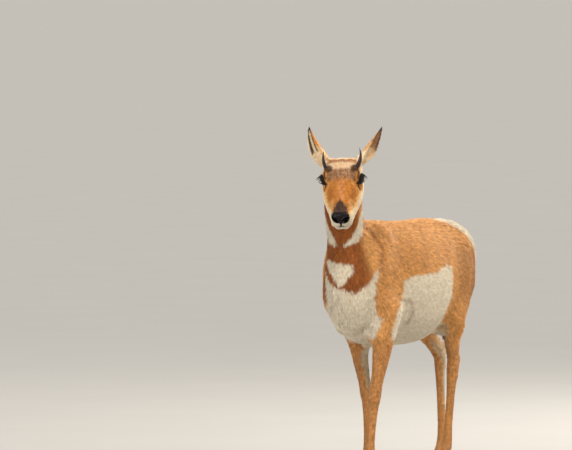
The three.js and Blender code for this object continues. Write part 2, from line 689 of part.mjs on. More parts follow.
// A nostril: a comma-shaped pit, wide in front and drawn out to the back and side.
function nostril(side) {
  const pit = new THREE.SphereGeometry(1, 12, 8).scale(12, 7, 7)
    .rotateZ(side * rad(24)).translate(172, side * 15, -23);
  const slit = new THREE.SphereGeometry(1, 12, 8).scale(11, 8, 3.6)
    .rotateX(side * rad(-30)).rotateZ(side * rad(50)).translate(168, side * 25, -17);
  return solid(pit).add(solid(slit));
}

// The line of the mouth: a thin curved blade kept to the outer few millimetres of the muzzle.
const MOUTH = { from: 108, to: 192, deep: 5, thick: 1.8, level: -63 };
function mouthLine(field) {
  const shape = new THREE.Shape();
  const line = (x) => MOUTH.level + 4 * Math.sin(((x - MOUTH.from) / 62) * Math.PI * 0.5);
  const xs = Array.from({ length: 8 }, (_, i) => lerp(MOUTH.from, MOUTH.to, i / 7));
  xs.forEach((x, i) => (i ? shape.lineTo(x, line(x) + MOUTH.thick / 2) : shape.moveTo(x, line(x))));
  xs.slice(1).reverse().forEach((x) => shape.lineTo(x, line(x) - MOUTH.thick / 2));
  const blade = new THREE.ExtrudeGeometry(shape, { depth: 120, bevelEnabled: false, steps: 1 })
    .translate(0, 0, -60).rotateX(Math.PI / 2);
  const frames = [86, 104, 122, 138].map((x) => ({ at: vec(x, 0, -50), way: vec(1, 0, 0), side: vec(0, 1, 0) }));
  for (const tilt of [28, 52, 74, 90]) frames.push({ ...frames[3], tilt });
  const core = wrap((x, y, z) => field(x, y, z) + MOUTH.deep, frames, 16, 120);
  return solid(blade).subtract(solid(core));
}

// Horns: short black blades above the eyes that curve in a little at the tip.
const HORNS = { 1: { length: 76, out: 22, hook: 5 }, [-1]: { length: 68, out: 15, hook: 4 } };
function makeHorn(side, headSolid) {
  const { length, out, hook } = HORNS[side];
  const base = vec(-14, side * 45, 24);
  const way = vec(-0.52, 0, 0.85).normalize();
  const across = vec(0, 1, 0);
  const rings = Array.from({ length: 9 }, (_, i) => {
    const t = i / 8;
    const middle = base.clone().addScaledVector(way, length * t);
    middle.y += side * (out * Math.sin(Math.PI * t * 0.62) - hook * t * t * t);
    middle.x += 6 * Math.sin(Math.PI * t);
    const size = (1 - t) ** 0.85;
    if (i === 8) return [middle];
    return Array.from({ length: 9 }, (_, j) => {
      const turn = (2 * Math.PI * j) / 9;
      return middle.clone().addScaledVector(across, 10.5 * size * Math.cos(turn))
        .addScaledVector(way.clone().cross(across), 13.5 * size * Math.sin(turn));
    });
  });
  return largest(solid(loft(rings).applyMatrix4(headFrame)).subtract(headSolid));
}

// Ears: each is a pointed cup, closed at the root. Directions are forward, left and up, level with the ground. The
// bulge is how far the ear bows out to the side half way up, and the length includes the root inside the head.
const EARS = {
  left_ear: { side: LEFT, way: [-0.2, 0.565, 0.815], open: [0.1, 0.95, -0.3], bulge: 7, length: 164 },
  right_ear: { side: RIGHT, way: [-0.2, -0.47, 0.82], open: [0.62, -0.76, 0.1], bulge: 14, length: 158 },
};
const EAR_ROWS = [ // share of the length, half width, how far the cup is wrapped round in degrees, how hollow it is
  [0, 17, 90, 0], [0.08, 20, 95, 0.1], [0.16, 24, 100, 0.75], [0.28, 28.5, 92, 1], [0.42, 30, 84, 1],
  [0.56, 26.5, 78, 1], [0.7, 20, 74, 1], [0.82, 13.5, 70, 1], [0.91, 8.5, 66, 0.9], [0.97, 3.6, 60, 0.3],
];
const EAR_THICK = 3.6;
const EAR_POINTS = 8;
function makeEar(name, headSolid) {
  const { side, way, open, bulge, length } = EARS[name];
  const level = new THREE.Matrix4().makeRotationZ(rad(HEAD_YAW));
  const axis = vec(...way).normalize().applyMatrix4(level);
  const front = vec(...open).applyMatrix4(level);
  front.addScaledVector(axis, -axis.dot(front)).normalize();
  const wide = axis.clone().cross(front);
  const base = vec(-54, side * 37, -2).applyMatrix4(headFrame);
  const inward = vec(0, -side, 0).applyMatrix4(level);
  const rings = EAR_ROWS.map(([t, width, around, hollow]) => {
    const angle = rad(around);
    const radius = width / Math.sin(Math.min(angle, Math.PI / 2));
    const middle = base.clone().addScaledVector(axis, length * t)
      .addScaledVector(inward, -bulge * Math.sin(Math.PI * t))
      .addScaledVector(front, (radius * Math.sin(angle)) / angle);
    const arc = (r, turn) => vec(0, 0, 0).addScaledVector(wide, r * Math.sin(turn)).addScaledVector(front, -r * Math.cos(turn));
    const outer = Array.from({ length: EAR_POINTS }, (_, j) => arc(radius, lerp(-angle, angle, j / (EAR_POINTS - 1))));
    const thick = Math.min(EAR_THICK * lerp(1.3, 0.6, t), width * 0.4);
    const inner = outer.slice(1, -1).map((p, j) => {
      const turn = lerp(-angle, angle, (j + 1) / (EAR_POINTS - 1)) * 0.93;
      const chord = outer[0].clone().lerp(outer[EAR_POINTS - 1], (j + 1) / (EAR_POINTS - 1)).addScaledVector(front, -0.6);
      return chord.lerp(arc(radius - thick, turn), hollow);
    });
    return [...outer, ...inner.reverse()].map((p) => p.add(middle));
  });
  const tip = base.clone().addScaledVector(axis, length);
  return largest(solid(loft([...rings, [tip]])).subtract(headSolid));
}

// Locks: flat, tapered blades that bend with the surface they lie on. Their roots are sunk in it, and each overlaps
// the next ones along the lie of the coat.
const LOCK = { sunk: 9, thick: 2.4, shares: [0, 0.3, 0.6, 0.84], widths: [0.8, 1, 0.86, 0.5] };
function lock(field, root, way, length, width, lift) {
  const onSkin = (share) => {
    const p = root.clone().addScaledVector(way, length * share);
    for (let n = 0; n < 4; n++) {
      const g = slope(field, p);
      p.addScaledVector(g, -field(p.x, p.y, p.z) / Math.max(g.lengthSq(), 0.3));
    }
    return { p, out: slope(field, p).normalize() };
  };
  const rings = LOCK.shares.map((share, i) => {
    const { p, out } = onSkin(share);
    const wide = way.clone().cross(out).normalize();
    p.addScaledVector(out, lerp(-LOCK.sunk, lift, Math.sqrt(share)));
    const half = (width / 2) * LOCK.widths[i];
    const thick = LOCK.thick * lerp(1, 0.6, share);
    return [[half, 0], [0, thick], [-half, 0], [0, -thick]].map(([across, up]) =>
      p.clone().addScaledVector(wide, across).addScaledVector(out, up));
  });
  const end = onSkin(1);
  return solid(loft([...rings, [end.p.addScaledVector(end.out, lift)]]));
}

// The short mane on the nape. Its rows run from the crown towards the withers, out from points inside the neck.
const MANE = {
  rows: 7, length: 50, width: 22, lift: 5.5, spread: 17, splay: 0.14,
  top: { at: [436, 13, 1005], out: [-0.62, 0, 0.78] },
  bottom: { at: [378, 0, 872], out: [-0.89, 0, 0.45] },
};
function maneLocks() {
  const top = vec(...MANE.top.at);
  const bottom = vec(...MANE.bottom.at);
  const down = bottom.clone().sub(top).normalize();
  return Array.from({ length: MANE.rows }, (_, i) => {
    const share = i / (MANE.rows - 1);
    const at = top.clone().lerp(bottom, share);
    const dorsal = vec(...MANE.top.out).lerp(vec(...MANE.bottom.out), share).normalize();
    return (i % 2 ? [-0.5, 0.5] : [-1, 0, 1]).map((place) => {
      const out = dorsal.clone().applyAxisAngle(down, -place * rad(MANE.spread));
      const root = at.clone().addScaledVector(out, reach(bodyField, at, out, 200));
      const face = slope(bodyField, root).normalize();
      const way = down.clone().addScaledVector(vec(0, 1, 0), place * MANE.splay);
      way.addScaledVector(face, -way.dot(face)).normalize();
      return lock(bodyField, root, way, MANE.length, MANE.width, MANE.lift);
    });
  }).flat();
}

// The fringe across the crown between the ears, in the head's frame, in two rows that lie back towards the nape.
const FRINGE = { rows: [[-38, 3], [-50, 4]], spread: 25, length: 34, width: 22, lift: 4 };
function fringeLocks() {
  return FRINGE.rows.flatMap(([x, count]) => Array.from({ length: count }, (_, i) => {
    const share = (2 * i) / (count - 1) - 1;
    const from = vec(x + 5 * share * share, FRINGE.spread * share, -20);
    const root = vec(from.x, from.y, -20 + reach(headForm, from, vec(0, 0, 1), 120));
    const face = slope(headForm, root).normalize();
    const way = vec(-1, 0.2 * share, 0);
    way.addScaledVector(face, -way.dot(face)).normalize();
    return lock(headForm, root, way, FRINGE.length, FRINGE.width, FRINGE.lift);
  }));
}

// Tail: a short flat tassel that hangs against the rump.
function makeTail(torsoSolid) {
  const rows = refine([
    [-404, 0, 806, 13, 10], [-433, 0, 792, 21, 12], [-455, 0, 768, 25, 13], [-467, 0, 738, 24, 12],
    [-472, 0, 710, 15, 9], [-471, 0, 688, 5, 4],
  ], 2);
  const rings = rows.map(([x, y, z, width, thick], i) => {
    const [a, b] = [rows[Math.max(i - 1, 0)], rows[Math.min(i + 1, rows.length - 1)]];
    const way = vec(b[0] - a[0], 0, b[2] - a[2]).normalize();
    const up = way.clone().cross(vec(0, 1, 0));
    return Array.from({ length: 12 }, (_, j) => {
      const turn = (2 * Math.PI * j) / 12;
      return vec(x, y + width * Math.cos(turn), z).addScaledVector(up, thick * Math.sin(turn));
    });
  });
  return largest(solid(loft(rings)).subtract(torsoSolid));
}

// A solid with its surface moved out by a small margin, to cut its neighbours clear of it.
function grown(made, margin) {
  const geometry = mergeVertices(geometryFrom(made));
  geometry.computeVertexNormals();
  const { position, normal } = geometry.attributes;
  for (let i = 0; i < position.count; i++)
    position.setXYZ(i, ...[0, 1, 2].map((k) => position.getComponent(i, k) + margin * normal.getComponent(i, k)));
  return solid(geometry);
}

// The model

const FINISH = {
  coat: { color: 0xb57a45, roughness: 0.9 },
  white: { color: 0xe8ddc8, roughness: 0.9 },
  eye: { color: 0x120c08, roughness: 0.08 },
  horn: { color: 0x1c1613, roughness: 0.5 },
  hoof: { color: 0x221c18, roughness: 0.55 },
};
const MATERIALS = Object.fromEntries(Object.entries(FINISH).map(([name, { color, roughness }]) =>
  [name, new THREE.MeshStandardMaterial({ name, color, roughness, metalness: 0 })]));

const model = new THREE.Group();
function put(name, made, finish) {
  const mesh = new THREE.Mesh(welded(geometryFrom(made)), MATERIALS[finish]);
  mesh.name = name;
  model.add(mesh);
}

const trunkSolid = makeTrunk();
const torsoSolid = makeTorso(trunkSolid);
const headSolid = makeHead();
const headRoom = grown(headSolid, GAP + 0.1);
put('torso', torsoSolid, 'coat');
put('neck', makeNeck(trunkSolid), 'coat');
put('head', headSolid, 'coat');
put('tail', makeTail(grown(torsoSolid, GAP + 0.1)), 'white');
for (const name of Object.keys(LEGS)) {
  const { upper, lower } = makeLeg(name);
  put(`${name}_upper_leg`, upper, 'coat');
  put(`${name}_lower_leg`, lower, 'coat');
  put(`${name}_outer_claw`, makeClaw(name, LEGS[name].side), 'hoof');
  put(`${name}_inner_claw`, makeClaw(name, -LEGS[name].side), 'hoof');
}
for (const [word, side] of [['left', LEFT], ['right', RIGHT]]) {
  put(`${word}_eye`, makeEye(side), 'eye');
  put(`${word}_horn`, makeHorn(side, headRoom), 'horn');
  put(`${word}_ear`, makeEar(`${word}_ear`, headRoom), 'coat');
}

// The origin is the middle of the bounding box's foot, on the ground.
const box = new THREE.Box3().setFromObject(model, true);
model.position.set(-(box.min.x + box.max.x) / 2, -(box.min.y + box.max.y) / 2, -box.min.z);

export default model;
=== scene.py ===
# A standing pronghorn doe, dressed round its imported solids.
import math

import bmesh
import bpy
import numpy as np
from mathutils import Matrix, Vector


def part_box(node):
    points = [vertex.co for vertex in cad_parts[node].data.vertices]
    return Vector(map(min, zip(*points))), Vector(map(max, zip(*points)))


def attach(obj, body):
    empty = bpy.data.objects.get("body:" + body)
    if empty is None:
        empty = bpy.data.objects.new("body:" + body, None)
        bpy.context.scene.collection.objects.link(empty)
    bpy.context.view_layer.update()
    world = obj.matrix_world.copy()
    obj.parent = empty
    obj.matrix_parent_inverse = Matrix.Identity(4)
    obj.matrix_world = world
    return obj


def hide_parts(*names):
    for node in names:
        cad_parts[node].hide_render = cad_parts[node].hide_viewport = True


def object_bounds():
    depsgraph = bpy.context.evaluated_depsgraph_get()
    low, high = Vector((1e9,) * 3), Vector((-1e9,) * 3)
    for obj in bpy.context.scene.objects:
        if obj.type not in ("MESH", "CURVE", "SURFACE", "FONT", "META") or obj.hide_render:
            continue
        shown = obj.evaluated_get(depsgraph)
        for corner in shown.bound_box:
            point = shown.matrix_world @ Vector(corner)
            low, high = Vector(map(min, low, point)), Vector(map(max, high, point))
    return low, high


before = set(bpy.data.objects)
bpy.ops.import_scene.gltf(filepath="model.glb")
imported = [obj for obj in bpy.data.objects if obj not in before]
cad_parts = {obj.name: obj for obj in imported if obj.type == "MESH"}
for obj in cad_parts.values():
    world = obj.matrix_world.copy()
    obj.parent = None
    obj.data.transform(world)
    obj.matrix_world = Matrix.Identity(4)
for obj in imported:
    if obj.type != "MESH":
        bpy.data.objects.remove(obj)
cad_low, cad_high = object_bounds()

MM = 0.001
UP = np.array([0.0, 0.0, 1.0])
RANDOM_SEED = 928
rng = np.random.default_rng(RANDOM_SEED)
interp = np.interp

# Small functions


def unit(v):
    return v / np.maximum(np.linalg.norm(v, axis=-1, keepdims=True), 1e-12)


def ramp(low, high, x):
    """Goes smoothly from 0 to 1 as x goes from low to high."""
    t = np.clip((x - low) / (high - low), 0, 1)
    return t * t * (3 - 2 * t)


def soft(width, x):
    """Goes smoothly from 0 to 1 as x passes 0, over the width on either side."""
    return ramp(-width, width, x)


def bell(width, x):
    """1 where x is 0, fading out over the width."""
    return np.exp(-(x / width) ** 2)


def angle(a, b):
    return np.degrees(np.arctan2(a, b))


def mix(under, over, share):
    share = np.clip(share, 0, 1)[:, None]
    return under * (1 - share) + np.asarray(over) * share


# Places on the animal, found from the solids

SIDES = {"left": 1, "right": -1}
LEGS = [f"{side}_{end}" for side in SIDES for end in ("fore", "hind")]
HEAD_PITCH = math.radians(43.5)  # how far the face slopes below level
EYE_RADIUS = 22.5
EYE_MIDDLE_ON_BODY = (478, 40, 1014)  # the point midway between the eyes, in body millimetres


def middle(node):
    low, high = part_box(node)
    return np.array((low + high) / 2)


eye_at = {word: middle(f"{word}_eye") for word in SIDES}
eye_middle = (eye_at["left"] + eye_at["right"]) / 2
head_left = unit(eye_at["left"] - eye_at["right"])
head_level = unit(np.cross(head_left, UP))
head_crown = np.cross(head_level, head_left)
head_down = head_level * math.cos(HEAD_PITCH) - head_crown * math.sin(HEAD_PITCH)
head_out = head_level * math.sin(HEAD_PITCH) + head_crown * math.cos(HEAD_PITCH)
HEAD_AXES = np.stack([head_down, head_left, head_out])
BODY_ORIGIN = eye_middle - np.array(EYE_MIDDLE_ON_BODY) * MM


# The body's own axes start on the ground below the trunk's middle, in millimetres: forward, left and up.
def to_body(points):
    return (points - BODY_ORIGIN) / MM


# The head's axes start midway between the eyes, in millimetres: down the face, left, out of the forehead.
def to_head(points):
    return (points - eye_middle) @ HEAD_AXES.T / MM


def from_head(place):
    return np.asarray(place, float) @ HEAD_AXES * MM + eye_middle


def on_side(word, points):
    """True for the points on one side of the head's middle."""
    return (to_head(points)[:, 1] > 0) == (word == "left")


# Camera at the photograph's angle: far off with a long lens, level with the animal's head

CAMERA_HEADING = math.radians(26)
CAMERA_AWAY = 22000
CAMERA_HEIGHT = 1650
LENS_PIXELS = 6600
FRAME_WIDTH = 572
SENSOR = 36
CLIP_END = 3000
AIM_LEFT = 109.3 / LENS_PIXELS
AIM_DOWN = 241.4 / LENS_PIXELS


def across_view(x, y):
    """How far to the right of the picture a place on the body lies."""
    return y * math.cos(CAMERA_HEADING) - x * math.sin(CAMERA_HEADING)


def make_camera():
    forward = -np.array([math.cos(CAMERA_HEADING), math.sin(CAMERA_HEADING), 0])
    across = np.array([-math.sin(CAMERA_HEADING), math.cos(CAMERA_HEADING), 0])
    data = bpy.data.cameras.new("camera")
    data.sensor_width = SENSOR
    data.lens = SENSOR * LENS_PIXELS / FRAME_WIDTH
    data.clip_end = CLIP_END
    camera = bpy.data.objects.new("camera", data)
    bpy.context.scene.collection.objects.link(camera)
    camera.location = BODY_ORIGIN + (UP * CAMERA_HEIGHT - forward * CAMERA_AWAY) * MM
    aim = forward - across * AIM_LEFT - UP * AIM_DOWN
    camera.rotation_euler = Vector(aim).to_track_quat("-Z", "Y").to_euler()
    bpy.context.scene.camera = camera


# Materials

PAINT_NOISE_SCALE = 90
PAINT_SHADE = {"From Min": 0.3, "From Max": 0.7, "To Min": 0.9, "To Max": 1.08}
COLOUR_DETAIL, BUMP_DETAIL = 6, 4
MIX_SHARE, MIX_UNDER, MIX_OVER, MIX_RESULT = 0, 6, 7, 2  # sockets of the colour mix


def material(name, rough, colour=None, paint=None, bump=(), sheen=0.0, specular=0.5):
    """A surface whose colour is painted on its points, or else two colours mixed by noise of a given scale.
    Each bump is a scale, a height in millimetres and a stretch."""
    made = bpy.data.materials.new(name)
    made.use_nodes = True
    tree = made.node_tree

    def fill(node, sockets):
        """Gives each socket its value, or links it to an output."""
        for key, value in sockets.items():
            if isinstance(value, bpy.types.NodeSocket):
                tree.links.new(value, node.inputs[key])
            else:
                node.inputs[key].default_value = value
        return node

    def add(kind, output, **sockets):
        return fill(tree.nodes.new(f"ShaderNode{kind}"), sockets).outputs[output]

    place = add("TexCoord", "Object")
    blend = tree.nodes.new("ShaderNodeMix")
    blend.data_type = "RGBA"
    if paint:
        painted = tree.nodes.new("ShaderNodeAttribute")
        painted.attribute_name = paint
        noise = add("TexNoise", "Fac", Scale=PAINT_NOISE_SCALE, Detail=COLOUR_DETAIL, Vector=place)
        shade = add("MapRange", "Result", Value=noise, **PAINT_SHADE)
        blend.blend_type = "MULTIPLY"
        fill(blend, {MIX_SHARE: 1, MIX_UNDER: painted.outputs["Color"], MIX_OVER: shade})
    else:
        under, over, scale = colour
        noise = add("TexNoise", "Fac", Scale=scale, Detail=COLOUR_DETAIL, Vector=place)
        fill(blend, {MIX_SHARE: noise, MIX_UNDER: (*under, 1), MIX_OVER: (*over, 1)})
    normal = {}
    for scale, height, stretch in bump:
        stretched = add("Mapping", "Vector", Vector=place, Scale=stretch)
        noise = add("TexNoise", "Fac", Scale=scale, Detail=BUMP_DETAIL, Vector=stretched)
        normal = {"Normal": add("Bump", "Normal", Distance=height * MM, Height=noise, **normal)}
    look = {"Roughness": rough, "Specular IOR Level": specular, "Sheen Weight": sheen}
    fill(tree.nodes["Principled BSDF"], {"Base Color": blend.outputs[MIX_RESULT], **look, **normal})
    return made


# Meshes from arrays


def mesh_object(name, points, faces):
    """faces is one array of rows with the same number of corners, or a list of such arrays."""
    groups = faces if isinstance(faces, list) else [faces]
    groups = [np.asarray(g, np.int32) for g in groups]
    loops = np.concatenate([g.ravel() for g in groups])
    sizes = np.concatenate([np.full(len(g), g.shape[1], np.int32) for g in groups])
    mesh = bpy.data.meshes.new(name)
    mesh.vertices.add(len(points))
    mesh.vertices.foreach_set("co", np.asarray(points, np.float32).ravel())
    mesh.loops.add(len(loops))
    mesh.loops.foreach_set("vertex_index", loops)
    mesh.polygons.add(len(sizes))
    starts = np.concatenate([[0], np.cumsum(sizes)[:-1]])
    mesh.polygons.foreach_set("loop_start", starts.astype(np.int32))
    mesh.polygons.foreach_set("use_smooth", np.ones(len(sizes), bool))
    mesh.update(calc_edges=True)
    mesh.validate()
    piece = bpy.data.objects.new(name, mesh)
    bpy.context.scene.collection.objects.link(piece)
    return piece


def dress(piece, surface, slot, *nodes):
    """Gives a piece its material and body, and hides the nodes that it stands for. The slot is not used."""
    piece.data.materials.append(surface)
    if nodes:
        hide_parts(*nodes)
    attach(piece, "root")


def write_colours(mesh, name, colours):
    layer = mesh.color_attributes.new(name, "FLOAT_COLOR", "POINT")
    whole = np.ones((len(colours), 4), np.float32)
    whole[:, :3] = colours
    layer.data.foreach_set("color", whole.ravel())


def grid_faces(steps, spokes, rows):
    """Faces between rings of points, each with the same number of spokes."""
    i, j = np.meshgrid(np.arange(steps), np.arange(spokes), indexing="ij")
    i2, j2 = (i + 1) % rows, (j + 1) % spokes
    return np.stack([i * spokes + j, i * spokes + j2, i2 * spokes + j2, i2 * spokes + j], -1).reshape(-1, 4)


def arrays(mesh):
    """Points and triangles of a mesh."""
    points = np.empty(len(mesh.vertices) * 3, np.float32)
    mesh.vertices.foreach_get("co", points)
    mesh.calc_loop_triangles()
    triangles = np.empty(len(mesh.loop_triangles) * 3, np.int32)
    mesh.loop_triangles.foreach_get("vertices", triangles)
    return points.reshape(-1, 3).astype(float), triangles.reshape(-1, 3)


def point_normals(points, triangles):
    a, b, c = (points[triangles[:, k]] for k in range(3))
    face = np.cross(b - a, c - a)
    total = np.zeros_like(points)
    for k in range(3):
        for axis in range(3):
            total[:, axis] += np.bincount(triangles[:, k], face[:, axis], len(points))
    return unit(total)


def node_arrays(node, step=1e-5):
    """Points and triangles of a solid, with the points that lie together joined."""
    points, triangles = arrays(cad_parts[node].data)
    near = np.round(points / step).astype(np.int64)
    _, first, back = np.unique(near, axis=0, return_index=True, return_inverse=True)
    triangles = back.reshape(-1)[triangles]
    a, b, c = triangles.T
    return points[first], triangles[(a != b) & (b != c) & (a != c)]


def remove(piece):
    mesh = piece.data
    bpy.data.objects.remove(piece)
    bpy.data.meshes.remove(mesh)


def with_modifier(piece, kind, **settings):
    """Applies one modifier, removes the piece, and returns the new points and triangles."""
    modifier = piece.modifiers.new(kind, kind)
    for key, value in settings.items():
        setattr(modifier, key, value)
    shape = piece.evaluated_get(bpy.context.evaluated_depsgraph_get())
    result = arrays(shape.to_mesh())
    shape.to_mesh_clear()
    remove(piece)
    return result


def edges_of(triangles):
    pairs = np.concatenate([triangles[:, [0, 1]], triangles[:, [1, 2]], triangles[:, [2, 0]]])
    return np.unique(np.sort(pairs, axis=1), axis=0)


def relaxed(points, edges, share, rounds, pulls=(0.5, -0.52)):
    """Smooths without shrinking: each round pulls points to their neighbours' mean, then pushes back."""
    share = np.broadcast_to(share, (len(points), 1))
    moving = share[:, 0] > 0.01
    edges = edges[moving[edges].any(1)]
    count = np.maximum(np.bincount(edges.ravel(), minlength=len(points)), 1)[:, None]
    for _ in range(rounds):
        for pull in pulls:
            total = np.stack([
                np.bincount(edges[:, 0], points[edges[:, 1], k], len(points))
                + np.bincount(edges[:, 1], points[edges[:, 0], k], len(points)) for k in range(3)], axis=1)
            points = points + pull * share * (total / count - points)
    return points


def finer(points, triangles, chosen):
    """Splits every edge whose two ends are both chosen."""
    piece = mesh_object("finer", points, triangles)
    made = bmesh.new()
    made.from_mesh(piece.data)
    made.verts.ensure_lookup_table()
    edges = [e for e in made.edges if chosen[e.verts[0].index] and chosen[e.verts[1].index]]
    bmesh.ops.subdivide_edges(made, edges=edges, cuts=1, smooth=0.0)
    bmesh.ops.triangulate(made, faces=made.faces[:])
    made.to_mesh(piece.data)
    made.free()
    result = arrays(piece.data)
    remove(piece)
    return result


# Ears

EARS = {
    "left": {"way": (-0.2, 0.565, 0.815), "open": (0.1, 0.95, -0.3), "bulge": 7, "length": 164, "turn": 16},
    "right": {"way": (-0.2, -0.47, 0.82), "open": (0.62, -0.76, 0.1), "bulge": 14, "length": 158, "turn": 0},
}
EAR_ROOT = (-54, 37, -2)  # of the left ear, in head millimetres
EAR_BASE = (-60, 46, 4)  # middle of the place where the left ear's root meets the head
EAR_MIDDLE = 8  # how far the middle of the ear's thickness lies in front of its axis
EAR_WIDTHS = (
    [0, 0.16, 0.28, 0.42, 0.56, 0.7, 0.82, 0.91, 0.97, 1.0],
    [17, 24, 28.5, 30, 26.5, 20, 13.5, 8.5, 3.6, 1])  # half width at shares of the length
flat_left = unit(head_left * np.array([1, 1, 0]))
LEVEL_AXES = np.stack([np.cross(flat_left, UP), flat_left, UP])


def ear_frame(word):
    """Root of the ear, its long axis, the way that its cup opens, and the third axis."""
    values = EARS[word]
    axis = unit(np.array(values["way"])) @ LEVEL_AXES
    front = np.array(values["open"]) @ LEVEL_AXES
    front = unit(front - axis * (axis @ front))
    return from_head(np.array(EAR_ROOT) * (1, SIDES[word], 1)), axis, front, np.cross(axis, front)


EAR_FRAMES = {word: ear_frame(word) for word in SIDES}


def in_ear(word, points, turned=True):
    """Place in an ear, before or after it is turned: share of its length, then across and forward."""
    root, axis, front, wide = EAR_FRAMES[word]
    away = (points - root) / MM
    along = away @ axis / EARS[word]["length"]
    bow = EARS[word]["bulge"] * SIDES[word] * np.sin(np.pi * np.clip(along, 0, 1))
    across = away @ wide - bow * (flat_left @ wide)
    forward = away @ front - bow * (flat_left @ front)
    if turned:
        across, forward = turned_by(ear_turn(word, along, across, forward), across, forward)
    return along, across, forward


def turned_by(turn, across, forward):
    return across * np.cos(turn) + forward * np.sin(turn), forward * np.cos(turn) - across * np.sin(turn)


def ear_turn(word, along, across, forward):
    """How far an ear is turned about its own length on the skin, against the solid, in radians."""
    near = ramp(56, 46, np.hypot(across, forward))
    return math.radians(EARS[word]["turn"]) * ramp(0.12, 0.36, along) * near


def ear_front(word, points):
    """The way that the cup of an ear opens, at each point."""
    _, _, front, wide = EAR_FRAMES[word]
    turn = ear_turn(word, *in_ear(word, points, False))[:, None]
    return front * np.cos(turn) + wide * np.sin(turn)


def turn_ears(points):
    """Turns each ear about its own length, from the root up."""
    here = {word: on_side(word, points)[:, None] * MM for word in SIDES}
    for word in SIDES:
        _, _, front, wide = EAR_FRAMES[word]
        along, across, forward = in_ear(word, points, False)
        new_across, new_forward = turned_by(-ear_turn(word, along, across, forward), across, forward)
        move = (new_across - across)[:, None] * wide + (new_forward - forward)[:, None] * front
        points = points + here[word] * move
    return points


def ear_share(points):
    """1 on an ear above its root."""
    share = np.zeros(len(points))
    for word in SIDES:
        along, across, forward = in_ear(word, points)
        near = ramp(52, 44, np.hypot(across, forward - EAR_MIDDLE))
        share = np.where(on_side(word, points), ramp(0.17, 0.27, along) * near, share)
    return share


def from_rim(along, across):
    return interp(along, *EAR_WIDTHS) - abs(across)


# Skin: the flesh solids made one surface, smoothed, and drawn in by the depth of the coat

FLESH = ["torso", "neck", "head", "left_ear", "right_ear", "tail", "left_eye", "right_eye"]
FLESH += [f"{leg}_{half}_leg" for leg in LEGS for half in ("upper", "lower")]
OVERLAP = 0.5 * MM  # each flesh solid is grown by this, so that the cuts between them close
BODY_KEPT = 0.12  # share of the body's points that is kept while it is smoothed
VOXEL = 2.0 * MM
HEAD_CUTS = (((-35, 0, -85), (0.874, 0, 0.485)), ((-35, 0, -86), (0, 0, 1)))  # each a point and a way
ALL_HEAD_ABOVE = 1066
PULL_LEVELS = 10
UNION_ROUNDS, BODY_ROUNDS, CROWN_ROUNDS, RIM_ROUNDS, FACE_ROUNDS = 4, 34, 60, 16, 3


def head_share(points):
    """1 on the head and ears, 0 on the body, with a soft step across the cut behind the jaw."""
    head = to_head(points)
    ahead = np.min([(head - np.array(at)) @ unit(np.array(way, float)) for at, way in HEAD_CUTS], axis=0)
    above = to_body(points)[:, 2] - ALL_HEAD_ABOVE
    share = ramp(-14, 12, np.maximum(ahead, above))
    bases = [np.array(EAR_BASE) * (1, side, 1) for side in SIDES.values()]
    root = np.min([np.linalg.norm(head - base, axis=1) for base in bases], axis=0)
    return np.maximum(share, ramp(50, 40, root))


def flesh_union():
    all_points, all_triangles, start = [], [], 0
    for name in FLESH:
        points, triangles = node_arrays(name)
        all_points.append(points + OVERLAP * point_normals(points, triangles))
        all_triangles.append(triangles + start)
        start += len(points)
    raw = mesh_object("raw", np.concatenate(all_points), np.concatenate(all_triangles))
    return with_modifier(raw, "REMESH", mode="VOXEL", voxel_size=VOXEL)


def smoothed_union():
    """The head stays fine, and the body is made sparser and smoothed."""
    points, triangles = flesh_union()
    points = relaxed(points, edges_of(triangles), 1.0, UNION_ROUNDS)
    piece = mesh_object("union", points, triangles)
    group = piece.vertex_groups.new(name="body")
    share = head_share(points)
    levels = np.round((1 - share) * PULL_LEVELS)
    for level in range(1, PULL_LEVELS + 1):
        group.add(np.nonzero(levels == level)[0].tolist(), level / PULL_LEVELS, "REPLACE")
    body_count = (share < 0.5).sum()
    goal = (len(points) - body_count * (1 - BODY_KEPT)) / len(points)
    points, triangles = with_modifier(
        piece, "DECIMATE", ratio=goal, vertex_group="body", vertex_group_factor=1.0)
    share = head_share(points)
    x, y, z = to_head(points).T
    crown = ramp(-14, -30, x) * ramp(-34, -20, z) * ramp(54, 42, abs(y)) * (1 - ear_share(points))
    limb = ramp(430, 330, to_body(points)[:, 2])
    body_pull = np.maximum(1 - share, crown)[:, None]
    edges = edges_of(triangles)
    points = relaxed(points, edges, body_pull * (1 - 0.6 * limb[:, None]), BODY_ROUNDS)
    points = relaxed(points, edges, (crown * share)[:, None], CROWN_ROUNDS)
    points = relaxed(points, edges, (crown * share)[:, None], CROWN_ROUNDS, (0.5,))
    for word in SIDES:
        along, across, _ = in_ear(word, points, False)
        rim = ramp(9, 4, from_rim(along, across)) * ramp(0.12, 0.2, along) * ramp(1.0, 0.93, along)
        mine = ear_share(points) * on_side(word, points)
        points = relaxed(points, edges, (rim * mine)[:, None], RIM_ROUNDS)
    return relaxed(points, edges, 0.6, 2), triangles


# Details of the face: lids, nostrils, mouth and folds

EYE_LOOK = (0.36, 0.91, 0.17)  # the way the open eye faces, in head axes, for the left eye
EYE_LONG = math.radians(50)
EYE_SHORT = math.radians(37)
LONG_POWER, SHORT_POWER = 1.75, 1.9  # how square the opening's corners are
NOSE_PAD = {"y": -3, "z": -13, "half_width": 30, "half_height": 15.5, "from_x": 163}
NOSTRIL = {"y": 17, "z": -17, "x": 152, "hair_x": 140, "half_width": 9.6, "half_height": 6.4, "depth": 9}
NOSTRIL_TILT = (0.88, 0.47)
NOSTRIL_SLIT = {"u": 9.5, "v": 6.5, "half_width": 4.2, "half_height": 2.6, "bend": 0.06, "depth": 1.2}
PHILTRUM_WIDTHS = ([-63, -58, -50, -42, -36, -28], [5, 9, 8, 3.4, 2.6, 4])
MOUTH_Z = -62


